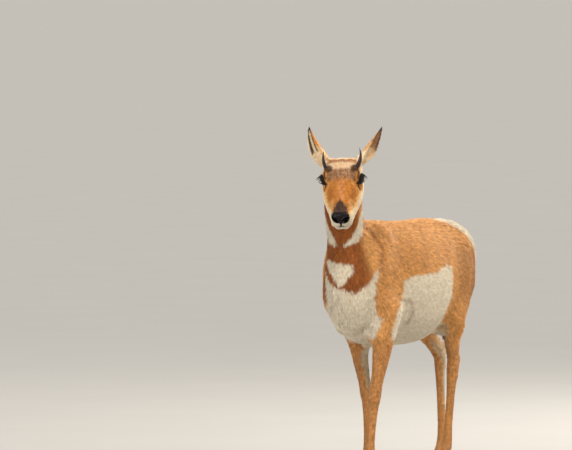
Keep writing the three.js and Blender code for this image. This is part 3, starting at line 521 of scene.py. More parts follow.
def eye_axes(word):
    """The way that an eye faces, and the ways along and across its opening, in head axes."""
    look = unit(np.array(EYE_LOOK) * (1, SIDES[word], 1))
    along = unit(np.array([1, 0, 0]) - look * look[0])
    return look, along, np.cross(along, look) * SIDES[word]


def eye_place(word, points):
    """Distance from the eye's middle, how far out from its opening (below 1 is open eye), and two angles."""
    away = to_head(points) - to_head(eye_at[word][None])[0]
    look, along, across = eye_axes(word)
    ahead = away @ look
    a = np.arctan2(away @ along, ahead)
    b = np.arctan2(away @ across, ahead)
    ring = (abs(a / EYE_LONG) ** LONG_POWER + abs(b / EYE_SHORT) ** SHORT_POWER) ** (1 / 1.8)
    return np.linalg.norm(away, axis=1), np.where(ahead > 0, ring, 9), a, b


def pad_share(head):
    """1 on the bare nose."""
    x, y, z = head[:, 0], head[:, 1] - NOSE_PAD["y"], head[:, 2]
    wide = NOSE_PAD["half_width"] - 4 * ramp(-22, -34, z) - 4 * ramp(-8, 3, z)
    round_it = (abs(y) / wide) ** 3 + (abs(z - NOSE_PAD["z"]) / NOSE_PAD["half_height"]) ** 3.4
    front = x - NOSE_PAD["from_x"] + 3.4 * (y / 20) ** 2 + 0.42 * (z + 17)
    return ramp(1.12, 0.9, round_it) * ramp(-1, 1.5, front)


def philtrum_share(head):
    """1 on the bare groove under the nose."""
    x, y, z = head.T
    half = interp(z, *PHILTRUM_WIDTHS)
    return ramp(1.5, -1.5, abs(y + 1) - half) * ramp(-24, -28, z) * ramp(-66, -62, z) * (x > 150)


def nostril_place(side, head):
    """Place across and above the middle of a nostril, and how far out of its hole: below 1 is inside."""
    u = side * (head[:, 1] - NOSE_PAD["y"]) - NOSTRIL["y"]
    v = head[:, 2] - NOSTRIL["z"]
    cos, sin = NOSTRIL_TILT
    wide, high = (u * cos + v * sin) / NOSTRIL["half_width"], (v * cos - u * sin) / NOSTRIL["half_height"]
    return u, v, wide ** 2 + high ** 2


def mouth_line(width, x, z):
    """1 along the line of the mouth, which rises a little to its corner."""
    return bell(width, z - MOUTH_Z - 3 * ramp(150, 105, x)) * ramp(96, 112, x) * (z < -50)


def bare_share(points):
    """1 where the skin has no hair: the nose, the groove under it and the lids' edges."""
    head = to_head(points)
    bare = np.maximum(pad_share(head), philtrum_share(head))
    for side in SIDES.values():
        u, v, hole = nostril_place(side, head)
        mouth_side = ramp(15.5, 13.5, np.hypot(u, v)) * ramp(-32, -30, head[:, 2]) * ramp(7, 4, v)
        near = np.maximum(ramp(1.5, 1.2, hole), mouth_side)
        bare = np.maximum(bare, near * (head[:, 0] > NOSTRIL["hair_x"]))
    for word in SIDES:
        ring = eye_place(word, points)[1]
        bare = np.maximum(bare, ramp(1.22, 1.12, ring))
    return bare * (head_share(points) > 0.5)


def carve_face(points, triangles):
    """Moves the skin of the head: lids round the eyes, nostrils, grain of the nose, mouth and folds."""
    normals = point_normals(points, triangles)
    for word in SIDES:
        distance, ring, _, b = eye_place(word, points)
        near = (ring < 4) & (distance < 44)
        out = unit(points - eye_at[word])
        open_to = EYE_RADIUS - 2.6
        lid = EYE_RADIUS + 1.7 + 0.7 * ramp(0.1, 0.5, b)
        fold = -1.5 * bell(0.16, ring - 1.75) * ramp(-0.25, 0.2, b)
        fold -= 0.9 * bell(0.16, ring - 1.8) * ramp(0.2, -0.25, b)
        blend = ramp(2.1, 1.3, ring)
        outside = distance * (1 - blend) + np.minimum(lid, distance + 4) * blend + fold
        wanted = np.where(ring < 1.0, open_to, outside)
        points = np.where(near[:, None], eye_at[word] + out * wanted[:, None] * MM, points)
    head = to_head(points)
    x, y, z = head.T
    move = np.zeros_like(head)
    front = x > NOSTRIL["x"]
    for side in SIDES.values():
        u, v, hole = nostril_place(side, head)
        slit_u = u - NOSTRIL_SLIT["u"]
        slit_v = v - NOSTRIL_SLIT["v"] + NOSTRIL_SLIT["bend"] * slit_u ** 2
        slit = (slit_u / NOSTRIL_SLIT["half_width"]) ** 2 + (slit_v / NOSTRIL_SLIT["half_height"]) ** 2
        depth = NOSTRIL["depth"] * ramp(1.25, 0.35, hole) + NOSTRIL_SLIT["depth"] * ramp(1.2, 0.2, slit)
        move[:, 0] -= (depth - 1.6 * bell(0.5, hole - 1.75)) * front
        move[:, 1] -= side * 2.4 * ramp(1.25, 0.35, hole) * front
    middle_groove = 1.6 * bell(1.6, y) * ramp(-2, -14, z) * ramp(-66, -60, z)
    move[:, 0] -= middle_groove * (x > 150)
    lip = bell(4.0, z - MOUTH_Z - 6) * ramp(110, 135, x)
    grain = pad_share(head) * (np.sin(x * 2.1 + y * 1.3) * np.sin(y * 2.3 - z) * np.sin(z * 2.2 + x))
    outward = 0.9 * lip - 2.6 * mouth_line(1.5, x, z) + 0.22 * grain
    move += outward[:, None] * (normals @ HEAD_AXES.T)
    return points + move @ HEAD_AXES * MM


# Colours of the coat: body, legs, head and ears

WHITE = (0.64, 0.56, 0.43)
WARM_WHITE = (0.70, 0.56, 0.37)
CREAM = (0.52, 0.39, 0.24)
TAN = (0.57, 0.270, 0.076)
# painted light: a slightly lighter coat for the upward-facing top of the trunk, as if lit from above
BACK_LIT_FROM_ABOVE = (0.58, 0.29, 0.100)
PALE_BACK = (0.60, 0.29, 0.095)
DEEP_BACK = (0.44, 0.19, 0.052)
SPINE = (0.36, 0.15, 0.05)
RUSSET = (0.26, 0.066, 0.007)
NECK_SIDE = (0.68, 0.34, 0.105)
COLLAR = (0.16, 0.042, 0.004)
HAUNCH = (0.34, 0.15, 0.04)
# painted shade in the fold between the neck and the left shoulder, and a painted highlight along its edge
CREASE_SHADE = (0.28, 0.10, 0.03)
CREASE_EDGE_HIGHLIGHT = (0.66, 0.34, 0.12)
# painted shade in the folds behind the shoulder and in the armpit
ARMPIT_FOLD_SHADE = (0.27, 0.17, 0.10)
# painted shade where the belly meets the thighs
GROIN_SHADE = (0.50, 0.30, 0.13)
FORELEG = (0.50, 0.23, 0.07)
LEG = (0.47, 0.21, 0.065)
FOOT = (0.40, 0.19, 0.07)
DARK = (0.060, 0.026, 0.013)
BLACK = (0.010, 0.008, 0.007)

FACE = (0.47, 0.172, 0.027)
FACE_RIDGE = (0.52, 0.21, 0.060)
EYE_CORNER = (0.62, 0.27, 0.055)
CHEEK_LINE = (0.32, 0.10, 0.014)
MUZZLE_SIDE = (0.60, 0.26, 0.05)
CHEEK_EDGE = (0.72, 0.40, 0.12)
DUSK = (0.024, 0.015, 0.015)
FOREHEAD = (0.62, 0.42, 0.25)
CROWN = (0.30, 0.12, 0.04)
FRINGE = (0.85, 0.60, 0.36)
BAND = (0.22, 0.11, 0.06)
BAND_DARK = (0.07, 0.035, 0.02)
BAND_PALE = (0.62, 0.44, 0.28)
TEMPLE = (0.50, 0.24, 0.07)
EAR_FOOT = (0.78, 0.56, 0.34)

# pale hair at the back of the ear's base, painted brighter than its own colour as painted light shining
# through the ear
EAR_BACK_PALE_AND_LIT = (0.92, 0.76, 0.52)
EAR_BACK_TAN = (0.72, 0.38, 0.15)
EAR_BACK_BROWN = (0.34, 0.13, 0.045)
EAR_EDGE = (0.80, 0.66, 0.46)
EAR_BOWL = (0.80, 0.64, 0.42)
EAR_BOWL_WARM = (0.86, 0.60, 0.33)
EAR_BOWL_TAN = (0.74, 0.34, 0.09)
EAR_BOWL_BROWN = (0.34, 0.15, 0.05)
EAR_LINE = (0.10, 0.035, 0.015)
# painted shadow inside the cup of the right ear
EAR_CAVITY_SHADOW = (0.05, 0.045, 0.04)
EAR_RIM = (0.09, 0.038, 0.02)
EAR_TIP = (0.05, 0.025, 0.016)

# Markings, with some painted shade and light: colours by place, the same for the skin and for every tuft


class Layers:
    """The colours of a set of points, laid on one over another."""

    def __init__(self, points, colour):
        self.colour = np.tile(np.array(colour), (len(points), 1))

    def lay(self, over, share):
        self.colour = mix(self.colour, over, share)


def wobble(place, size, seed):
    """Smooth uneven waves between about -1 and 1, with bumps of the given size in millimetres."""
    draws = np.random.default_rng(seed)
    total = np.zeros(len(place))
    for _ in range(6):
        way = unit(draws.normal(size=3)) * 2 * math.pi / size * draws.uniform(0.6, 1.7)
        total += np.sin(place @ way + draws.uniform(0, 6.28))
    return total / 2.6


def from_segment(place, start, end):
    """Distance of each point from the line between two others."""
    start, end = np.array(start, float), np.array(end, float)
    share = np.clip((place - start) @ (end - start) / ((end - start) @ (end - start)), 0, 1)
    return np.linalg.norm(place - start - share[:, None] * (end - start), axis=1)


def centre_line(names, step=24):
    """Middle of some nodes at each height, in body millimetres."""
    place = np.concatenate([to_body(arrays(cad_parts[name].data)[0]) for name in names])
    rows = []
    for level in np.arange(place[:, 2].min() + step / 2, place[:, 2].max(), step):
        here = place[abs(place[:, 2] - level) < step]
        if len(here):
            low, high = here.min(0), here.max(0)
            rows.append(((low[0] + high[0]) / 2, (low[1] + high[1]) / 2, level))
    rows = np.array(rows)
    return lambda z: (interp(z, rows[:, 2], rows[:, 0]), interp(z, rows[:, 2], rows[:, 1]))


leg_lines = {leg: centre_line([f"{leg}_{half}_leg" for half in ("upper", "lower")]) for leg in LEGS}


def neck_middle(z):
    return interp(z, [640, 720, 800, 870, 940], [330, 350, 366, 385, 403])


def crease(place):
    """1 along the fold between the neck and the left shoulder."""
    x, y, z = place.T
    line = interp(z, [700, 715, 752, 782, 820, 856], [-60, -54, -47, -47, -74, -107])
    near = bell(7.5, across_view(x, y) - line) * ramp(690, 730, z) * ramp(880, 840, z)
    return near * ramp(20, 50, y) * ramp(180, 230, x)


def paint_body(points, normals):
    place = to_body(points)
    edge = wobble(place, 26, 1) * 3 + wobble(place, 9, 2) * 2
    x, y, z = place.T
    side = abs(y)
    inward = -normals[:, 1] * np.sign(y)
    coat = Layers(points, TAN)
    # Painted light: the upward-facing coat of the trunk is made a little lighter, as if lit from above
    coat.lay(BACK_LIT_FROM_ABOVE, 0.65 * ramp(-0.1, 0.9, normals[:, 2]) * (x < 330))
    coat.lay(PALE_BACK, 0.5 * ramp(0.25, 0.8, wobble(place, 190, 3)))
    coat.lay(DEEP_BACK, 0.4 * ramp(0.2, 0.9, wobble(place, 120, 4)))

    # Brown neck with a darker collar, and the white band across the throat
    turn = angle(y, x - neck_middle(z))
    front = abs(turn - 8)
    on_neck = ramp(300, 345, x) * ramp(600, 640, z)
    coat.lay(RUSSET, on_neck * ramp(100, 52, front) * 0.92)
    coat.lay(NECK_SIDE, on_neck * ramp(66, 96, front) * ramp(900, 780, z) * 0.7)
    coat.lay(COLLAR, on_neck * ramp(690, 640, z) * ramp(60, 30, front) * 0.6)
    away = abs(turn - interp(z, [790, 823, 880], [2, 16, 20]))
    low = interp(away, [8, 12, 35, 50, 65, 78, 95, 112], [800, 790, 796, 804, 815, 830, 858, 905])
    high = interp(away, [8, 10, 29, 52, 65, 80, 95, 112], [788, 792, 825, 858, 884, 905, 914, 905])
    coat.lay(WHITE, soft(4, z - low + edge) * soft(4, high - z + edge) * (x > 300))

    # White shield low on the neck
    left_edge = interp(z, [655, 660, 680, 699, 712, 733], [10, 14, 28, 38, 43, 44])
    right_edge = interp(z, [655, 676, 699, 721, 743], [9, -6, -25, -43, -52])
    top = interp(y, [-66, -43, -29, -11, 14, 48], [750, 746, 740, 737, 732, 729])
    shield = soft(4, left_edge - y + edge) * soft(4, y - right_edge + edge)
    coat.lay(WHITE, shield * soft(5, top - z + edge) * ramp(650, 662, z) * (x > 330))

    # White chest below the collar's crescent
    top = interp(
        y, [-75, -60, -45, -29, -2, 27, 47, 64, 77, 85, 92, 96, 110],
        [716, 706, 692, 672, 653, 644, 637, 650, 666, 688, 711, 730, 770])
    across = across_view(x, y)
    left_end = interp(z, [440, 500, 549, 572, 619, 681, 720, 760], [-75, -60, -42, -63, -70, -63, -54, -58])
    right_end = interp(z, [440, 549, 612, 735], [-236, -226, -222, -227])
    far_end = interp(z, [440, 540, 600, 740], [-100, -90, -62, -58])
    chest = soft(5, top - z + edge) * soft(5, left_end - across + edge) * soft(5, across - right_end + edge)
    chest *= ramp(215, 260, x) * soft(6, y - far_end + edge) * (z < 770)
    coat.lay(WHITE, chest * np.maximum(ramp(462, 490, z), ramp(48, 36, side)))

    # White flank and belly
    top = interp(x, [-138, -130, -86, -12, 80, 133, 177, 205], [690, 706, 713, 692, 688, 682, 672, 640])
    fore = interp(z, [400, 511, 544, 577, 606, 639, 672], [285, 279, 274, 261, 205, 184, 177])
    rear = interp(z, [400, 470, 540, 585, 599, 706], [-70, -82, -106, -128, -138, -138])
    flank = soft(5, top - z + edge) * soft(6, fore - x + edge) * soft(6, x - rear + edge) * (z > 380)
    coat.lay(WHITE, flank * ramp(60, 70, side + 40 * (normals[:, 2] < 0)))
    belly = ramp(-0.2, -0.6, normals[:, 2]) * (z < 560) * (z > 385) * ramp(-260, -200, x)
    coat.lay(WHITE, belly * np.maximum(ramp(105, 85, side), ramp(-130, -100, x)))

    # Brown top of the forelegs and haunch; painted shade in the folds of the shoulder, armpit and groin, and
    # a painted highlight along the shoulder's fold
    on_leg = np.zeros(len(place))
    for word in ("left_fore", "right_fore"):
        leg_x, leg_y = leg_lines[word](np.minimum(z, 430))
        near = ramp(66, 52, np.hypot(x - leg_x, y - leg_y))
        on_leg = np.maximum(on_leg, near * ramp(492, 470, z + edge))
    coat.lay(FORELEG, on_leg * ramp(0.9, 0.5, inward) * ramp(28, 42, side))
    # Painted shade in the fold between the neck and the left shoulder, and a painted highlight along its
    # edge
    coat.lay(CREASE_SHADE, crease(place) * 0.62)
    coat.lay(CREASE_EDGE_HIGHLIGHT, crease(place + (9, -18, 0)) * 0.2)
    coat.lay(HAUNCH, ramp(-150, -240, x) * ramp(560, 620, z) * ramp(800, 740, z) * ramp(60, 90, side) * 0.7)
    # Painted shade along the folds behind the shoulder and in the armpit
    level_fold = bell(48, x - 165) * bell(6, z - 606 - 0.12 * (x - 176))
    steep_fold = bell(9, x - interp(z, [520, 570, 600, 615], [133, 122, 141, 160]))
    fold = np.maximum(level_fold, steep_fold * ramp(505, 535, z) * ramp(620, 605, z))
    coat.lay(ARMPIT_FOLD_SHADE, fold * ramp(60, 90, y) * 0.5)
    # Painted shade where the belly meets the thighs
    groin = ramp(-100, -130, x) * ramp(-215, -180, x) * ramp(520, 500, z) * ramp(400, 430, z)
    coat.lay(GROIN_SHADE, groin * ramp(50, 75, side) * 0.8)

    # White rump with a dark line over the tail
    rim = interp(
        z, [540, 600, 687, 731, 760, 783, 809, 835, 866],
        [-470, -420, -392, -384, -368, -326, -288, -264, -228])
    half = interp(z, [545, 565, 620, 690, 760], [0, 40, 88, 122, 160])
    rump = ramp(5, -5, x - rim - edge) * soft(5, half - side + edge)
    coat.lay(WHITE, rump)
    coat.lay(SPINE, rump * ramp(9, 5, side + 0.3 * edge) * ramp(770, 800, z))

    # Legs, paler inside
    inner = ramp(0.45, 0.85, inward) * ramp(0.75, 0.3, normals[:, 0]) * (z < 520)
    leg = ramp(470, 410, z)
    coat.lay(CREAM, leg * inner * ramp(150, 330, z) * 0.9)
    coat.lay(LEG, leg * (1 - inner) * 0.7)
    coat.lay(FOOT, ramp(130, 60, z) * 0.7)
    return coat.colour


def paint_head(points):
    head = to_head(points)
    x, y, z = head.T
    side = abs(y)
    edge = wobble(head, 11, 11) * 2 + wobble(head, 4, 12) * 1.4
    streak = wobble(head * (0.25, 1, 1), 5, 13)
    coat = Layers(points, FACE)
    coat.lay(FACE_RIDGE, ramp(16, 5, side) * ramp(25, 40, x) * ramp(120, 100, x))
    coat.lay(EYE_CORNER, ramp(24, 38, side) * ramp(60, 40, x) * ramp(-14, -2, x) * 0.8)
    cheek_line = bell(7, side - 36 + 0.10 * (x - 60)) * ramp(38, 55, x) * ramp(98, 84, x)
    coat.lay(CHEEK_LINE, cheek_line * (0.55 + 0.3 * streak))
    coat.lay(MUZZLE_SIDE, ramp(22, 30, side) * ramp(84, 96, x) * 0.8)
    coat.lay(CREAM, ramp(20, 32, side) * ramp(90, 112, x) * ramp(-0.5, 0.7, streak) * 0.75)

    # White cheeks, jaw and lips
    limit = interp(
        x, [-80, -30, 0, 24, 34, 52, 87, 105, 120, 135, 150, 165],
        [92, 88, 96, 98, 82, 86, 92, 88, 76, 64, 56, 50])
    past = angle(side, z + 30) - limit + edge * 2
    coat.lay(CHEEK_EDGE, ramp(-14, 0, past) * ramp(20, 60, x) * 0.9)
    coat.lay(WARM_WHITE, ramp(-4, 8, past + 2 * streak))
    coat.lay(WHITE, ramp(-26, -34, z) * ramp(128, 142, x))

    # Dark top of the muzzle
    off = abs(y + 2)
    dusk = soft(9, x - 106 - 1.1 * off + 1.6 * edge + 3 * streak) * ramp(31, 19, off + 0.8 * edge)
    coat.lay(DUSK, dusk * ramp(-26, -14, z) * (0.93 + 0.06 * streak))

    # Forehead with its speckled band, crown, and the marks round horns and ears
    fine = wobble(head, 2.6, 14) + 0.4 * streak
    top = ramp(50, 40, side) * ramp(0, 12, z)
    coat.lay(FOREHEAD, top * ramp(-4, -14, x + edge))
    coat.lay(CROWN, top * ramp(-43, -49, x + 0.6 * edge) * 0.85)
    coat.lay(FRINGE, top * ramp(-58, -64, x + 0.6 * edge))
    band = ramp(-16, -6, x + edge) * ramp(44, 14, x + 1.5 * edge) * ramp(52, 44, side) * ramp(8, 18, z)
    coat.lay(BAND, band * 0.72)
    coat.lay(BAND_DARK, band * ramp(0.1, 0.9, fine) * 0.7)
    coat.lay(BAND_PALE, band * ramp(-0.3, -1.0, fine) * 0.6)
    from_horn = np.sqrt((x + 14) ** 2 + (side - 45) ** 2 + (z - 36) ** 2)
    coat.lay(DARK, ramp(20, 11, from_horn + edge) * 0.9)
    from_temple = np.sqrt((x + 30) ** 2 + (side - 58) ** 2 + (z - 22) ** 2)
    coat.lay(TEMPLE, ramp(15, 8, from_temple + edge))
    pale = ramp(54, 61, side) * ramp(2, -8, x + edge) * ramp(-62, -50, x) * ramp(-34, -24, z)
    coat.lay(EAR_FOOT, np.maximum(pale, ramp(-44, -52, x) * ramp(44, 52, side)))

    # Ring of the lids, with a mark running down from the front corner, and painted shadow under the brow
    # above the eye
    for word in SIDES:
        distance, ring, a, b = eye_place(word, points)
        near = ramp(46, 40, distance)
        under = ramp(2.5, 2.1, ring) * ramp(1.3, 1.5, ring) * ramp(0.15, -0.35, b) * ramp(0.3, -0.1, a)
        coat.lay(CREAM, near * under * 0.7)
        coat.lay(BLACK, near * ramp(1.55, 1.32, ring))
        away = (head - to_head(eye_at[word][None])) * (1, SIDES[word], 1)
        tear = from_segment(away, (19, 4, -2), (33, 9, -21))
        coat.lay(DARK, ramp(5.0, 2.6, tear + 0.25 * edge) * 0.95)
        # Painted shadow under the brow, above the eye
        brow_shadow = from_segment(away, (-3, 7, 26), (15, 5, 20))
        coat.lay(DARK, ramp(6.2, 3.4, brow_shadow + 0.25 * edge) * 0.9)

    # Painted shade along the groove of the mouth
    coat.lay(DARK, mouth_line(1.6, x, z) * 0.9)
    coat.lay(BLACK, philtrum_share(head))
    coat.lay(BLACK, pad_share(head))
    return coat.colour


def paint_ears(points, normals, colour):
    share = ear_share(points)
    head = to_head(points)
    streak = wobble(head, 3.5, 22)
    for word in SIDES:
        along, across, _ = in_ear(word, points)
        length = along + wobble(head, 14, 21) * 0.03
        facing = np.sum(normals * ear_front(word, points), axis=1)
        half = interp(along, *EAR_WIDTHS)
        # The pale base of the ear's back is painted brighter than its own colour, as painted light shining
        # through the ear
        back = Layers(points, EAR_BACK_PALE_AND_LIT)
        back.lay(EAR_BACK_TAN, ramp(0.26, 0.46, length + 0.04 * streak))
        back.lay(EAR_BACK_BROWN, ramp(0.72, 0.90, length + 0.03 * streak))
        bowl = Layers(points, EAR_BOWL)
        if word == "right":
            past = across - interp(along, [0.45, 0.57, 0.70, 0.85], [-8, -5.2, -1.7, 2.5])
            # Painted shadow inside the cup of the right ear
            from_cavity_shadow = across - interp(along, [0.40, 0.54, 0.69, 0.81, 0.95], [-23, -20, -15, -10.9, -4])
            bowl.lay(EAR_BOWL_WARM, ramp(-2, 6, past) * ramp(0.62, 0.50, length))
            bowl.lay(EAR_BOWL_TAN, ramp(0, 3, past) * ramp(0.46, 0.56, length))
            bowl.lay(EAR_LINE, ramp(3.6, 1.6, abs(past)) * ramp(0.42, 0.50, length))
            bowl.lay(EAR_CAVITY_SHADOW, ramp(4.4, 2.2, abs(from_cavity_shadow)) * ramp(0.38, 0.48, length) * 0.95)
            back.lay(EAR_BOWL_WARM, ramp(0.5, 0.3, length))
            back.lay(EAR_EDGE, ramp(13, 6, half + across))
        else:
            bowl.lay(EAR_BOWL_BROWN, ramp(0.44, 0.58, length + 0.03 * streak) * 0.9)
        back.lay(bowl.colour, ramp(0.0, 0.3, facing))
        if word == "left":
            back.lay(EAR_RIM, ramp(6, 2, half - abs(across)) * ramp(0.50, 0.66, length) * 0.8)
        back.lay(EAR_TIP, ramp(0.88, 0.95, length))
        colour = mix(colour, back.colour, share * on_side(word, points))
    return colour


def paint(points, normals):
    colour = mix(paint_body(points, normals), paint_head(points), head_share(points))
    return np.clip(paint_ears(points, normals, colour), 0, 1)


# Depth of the coat


def rump_share(start, end, place):
    """1 where the rump's long hair grows."""
    x, y, z = place.T
    return ramp(start, end, x) * ramp(540, 600, z) * ramp(140, 110, abs(y))


def coat_depth(points):
    """How far the skin lies below the tips of the coat, in millimetres."""
    place = to_body(points)
    depth = interp(place[:, 2], [40, 250, 400, 520], [1.2, 1.8, 3.6, 6.5])
    depth = depth + 2.0 * rump_share(-230, -260, place) + 1.8 * crease(place)
    head = to_head(points)
    face = 1.5 - 2.2 * ramp(-20, -50, head[:, 0]) * ramp(0, 14, head[:, 2])
    face = face * (1 - 0.9 * pad_share(head))
    face = face * (1 - 0.6 * ramp(120, 150, head[:, 0]))
    for word in SIDES:
        distance, ring, _, _ = eye_place(word, points)
        face = face * (1 - 0.97 * ramp(40, 34, distance) * ramp(1.9, 1.35, ring))
    share = head_share(points)
    depth = depth * (1 - share) + face * share
    ears = ear_share(points)
    return depth * (1 - ears) + 0.7 * ears


# Regions of the skin, each with its own unwrap round its axis

TRUNK_AXIS = 620  # height of the trunk's axis
HEAD_AXIS = -30
HIND_TILT = math.radians(22)


def region_of(points):
    """Name of the region that each point lies in."""
    x, y, z = to_body(points).T
    region = np.full(len(points), "trunk", dtype="U12")
    region[(x - 238) * 0.74 + (z - 872) * 0.67 > 0] = "neck"
    region[(x < -392) & (abs(y) < 42) & (z > 640)] = "tail"
    on_leg = {
        "hind": (-(x + 140) * math.sin(HIND_TILT) + (438 - z) * math.cos(HIND_TILT) > 0) & (x < 0),
        "fore": (z < 442) & (x > 60) & (abs(y) > 14),
    }
    for leg in LEGS:
        word, end = leg.split("_")
        region[on_leg[end] & (np.sign(y) == SIDES[word])] = leg
    region[head_share(points) > 0.5] = "head"
    for word in SIDES:
        region[(ear_share(points) > 0.5) & on_side(word, points)] = f"{word}_ear"
    return region


def unwrap(region, points):
    """Turn round the region's axis in degrees, and place along it in millimetres."""
    x, y, z = to_body(points).T
    if region == "head":
        head = to_head(points)
        return angle(head[:, 1], head[:, 2] - HEAD_AXIS), head[:, 0]
    if region.endswith("ear"):
        word = region.split("_")[0]
        along, across, forward = in_ear(word, points)
        return angle(across, forward - EAR_MIDDLE), along * EARS[word]["length"]
    if region == "neck":
        return angle(y, x - neck_middle(z)), z
    if region in leg_lines:
        leg_x, leg_y = leg_lines[region](z)
        return angle(y - leg_y, x - leg_x), z
    return angle(y, z - TRUNK_AXIS), x


# Lie of the coat: the way that the hair points, in body or head axes

TRUNK_LIE = (-1.0, 0, -0.62)
CHEST_LIE = (-0.15, 0, -1)
BELLY_LIE = (-1, 0, 0)
NECK_LIE = (-0.32, 0, -1)
RUMP_LIE = (-0.4, 0, -1)
RUMP_SPREAD = 0.45
LEG_LIE = (-0.12, 0, -1)
SWAY = (0, 0.10, 0.22)
CROWN_LIE = (-0.9, 0, 0.3)
CHEEK_SPREAD, CHEEK_DROP = 0.22, 0.5
EAR_LEAN_LOW, EAR_LEAN_HIGH = 0.22, 0.36


def lie_of(points, normals):
    place = to_body(points)
    x, y, z = place.T
    way = np.tile(TRUNK_LIE, (len(points), 1))
    way = mix(way, CHEST_LIE, ramp(0.15, 0.75, normals[:, 0]))
    way = mix(way, BELLY_LIE, ramp(-0.3, -0.8, normals[:, 2]) * (z > 380))
    way = mix(way, NECK_LIE, ramp(300, 350, x) * ramp(620, 700, z))
    spread = np.outer(RUMP_SPREAD * np.sign(y) * ramp(0, 30, abs(y)), (0, 1, 0)) + RUMP_LIE
    way = mix(way, spread, ramp(-240, -330, x) * ramp(520, 600, z))
    way = mix(way, LEG_LIE, ramp(470, 380, z))
    way = way + wobble(place, 120, 31)[:, None] * np.array(SWAY)

    x, y, z = to_head(points).T
    cheek = ramp(35, 75, angle(abs(y), z - HEAD_AXIS))
    spread = CHEEK_SPREAD * np.sign(y) * (1 - cheek)
    face = np.stack([-np.ones(len(x)), spread, -CHEEK_DROP * cheek], axis=1)
    face = mix(face, CROWN_LIE, ramp(-20, -45, x) * ramp(0, 12, z))
    way = mix(way, face @ HEAD_AXES, head_share(points))
    for word in SIDES:
        along, across, _ = in_ear(word, points)
        lean = EAR_LEAN_LOW * ramp(0.35, 0.1, along) - EAR_LEAN_HIGH * ramp(0.3, 0.6, along)
        lean = across / interp(along, *EAR_WIDTHS) * lean
        up_ear = EAR_FRAMES[word][1] + lean[:, None] * EAR_FRAMES[word][3]
        way = mix(way, up_ear, ear_share(points) * on_side(word, points))
    way = way - normals * np.sum(way * normals, axis=1, keepdims=True)
    return unit(way)


# Tufts: length and width in millimetres, and how many grow on a square centimetre, for each region

REGIONS = ("trunk", "neck", "tail", "head", "left_ear", "right_ear", *LEGS)
TUFT_LENGTH = dict(zip(REGIONS, (21, 16.5, 34, 7, 5.5, 5.5, 11, 11, 11, 11)))
TUFT_WIDTH = dict(zip(REGIONS, (1.8, 1.5, 2.0, 0.85, 0.7, 0.7, 1.2, 1.2, 1.2, 1.2)))
TUFTS_PER_CM2 = dict(zip(REGIONS, (22, 32, 40, 84, 110, 110, 40, 40, 40, 40)))
MOST_TUFTS = 60000  # in one piece
BARE_BELOW = 34  # the hooves start at this height
CM2 = 1e4  # in a square metre
ROLL, TURN = 20, 11  # how far tufts roll and turn at random, in degrees
ROOT_DEPTH = 0.6
TUFT_SHADE = (0.78, 0.78, 1.0, 1.0, 1.12)  # from root to tip
PATCH = 0.003  # size of a tuft on the unwrap
EDGE_OF_MAP = 0.01


def scatter(points, triangles, normals, density):
    """Roots spread evenly over the triangles, with the skin's normal at each."""
    a, b, c = (points[triangles[:, k]] for k in range(3))
    area = np.linalg.norm(np.cross(b - a, c - a), axis=1) / 2 * CM2
    running = np.cumsum(area * density)
    count = int(running[-1])
    picks = np.searchsorted(running, (np.arange(count) + rng.random(count)) * running[-1] / count)
    picks = np.minimum(picks, len(triangles) - 1)
    u, v = rng.random((2, count))
    flip = u + v > 1
    u, v = np.where(flip, 1 - u, u), np.where(flip, 1 - v, v)
    weights = np.stack([1 - u - v, u, v], axis=1)[:, :, None]
    corners = triangles[picks]
    return (points[corners] * weights).sum(1), unit((normals[corners] * weights).sum(1))


def tuft_arrays(root, normal, way, length, width, lift, colour):
    """A bent tapering blade of five points on each root, with its colours from root to tip."""
    count = len(root)
    roll = np.radians(rng.normal(0, ROLL, count))[:, None]
    turn = np.radians(rng.normal(0, TURN, count))[:, None]
    way = unit(way * np.cos(turn) + np.cross(way, normal) * np.sin(turn))
    flat = np.cross(way, normal) * np.cos(roll) + normal * np.sin(roll)
    length, width, lift = (v[:, None] * MM for v in (length, width, lift))
    bottom = root - normal * ROOT_DEPTH * MM
    knee = root + way * length * 0.48 + normal * lift * 0.72
    tip = root + way * length * 0.97 + normal * lift
    half_root, half_knee = flat * width * 0.45, flat * width * 0.5
    corners = [bottom - half_root, bottom + half_root, knee + half_knee, knee - half_knee, tip]
    start = np.arange(count)[:, None] * 5
    faces = [start + np.array([[0, 1, 2, 3]]), start + np.array([[3, 2, 4]])]
    shaded = np.clip(colour[:, None, :] * np.array(TUFT_SHADE)[None, :, None], 0, 1)
    return np.stack(corners, axis=1).reshape(-1, 3), faces, shaded.reshape(-1, 3)


def write_tuft_map(mesh, turn, along):
    """Each tuft is a small patch at its root's place on the unwrap of its region."""
    inner = 1 - 2 * EDGE_OF_MAP
    place = [(v - v.min()) / max(np.ptp(v), 1e-6) * inner + EDGE_OF_MAP for v in (turn, along)]
    shape = np.array([(-0.45, -1), (0.45, -1), (0.5, 0), (-0.5, 0), (0, 1)]) * PATCH / 2
    corners = (np.stack(place, axis=1)[:, None, :] + shape[None]).reshape(-1, 2)
    loops = np.empty(len(mesh.loops), np.int32)
    mesh.loops.foreach_get("vertex_index", loops)
    layer = mesh.uv_layers.new(name="OFBake")
    layer.data.foreach_set("uv", corners[loops].astype(np.float32).ravel())


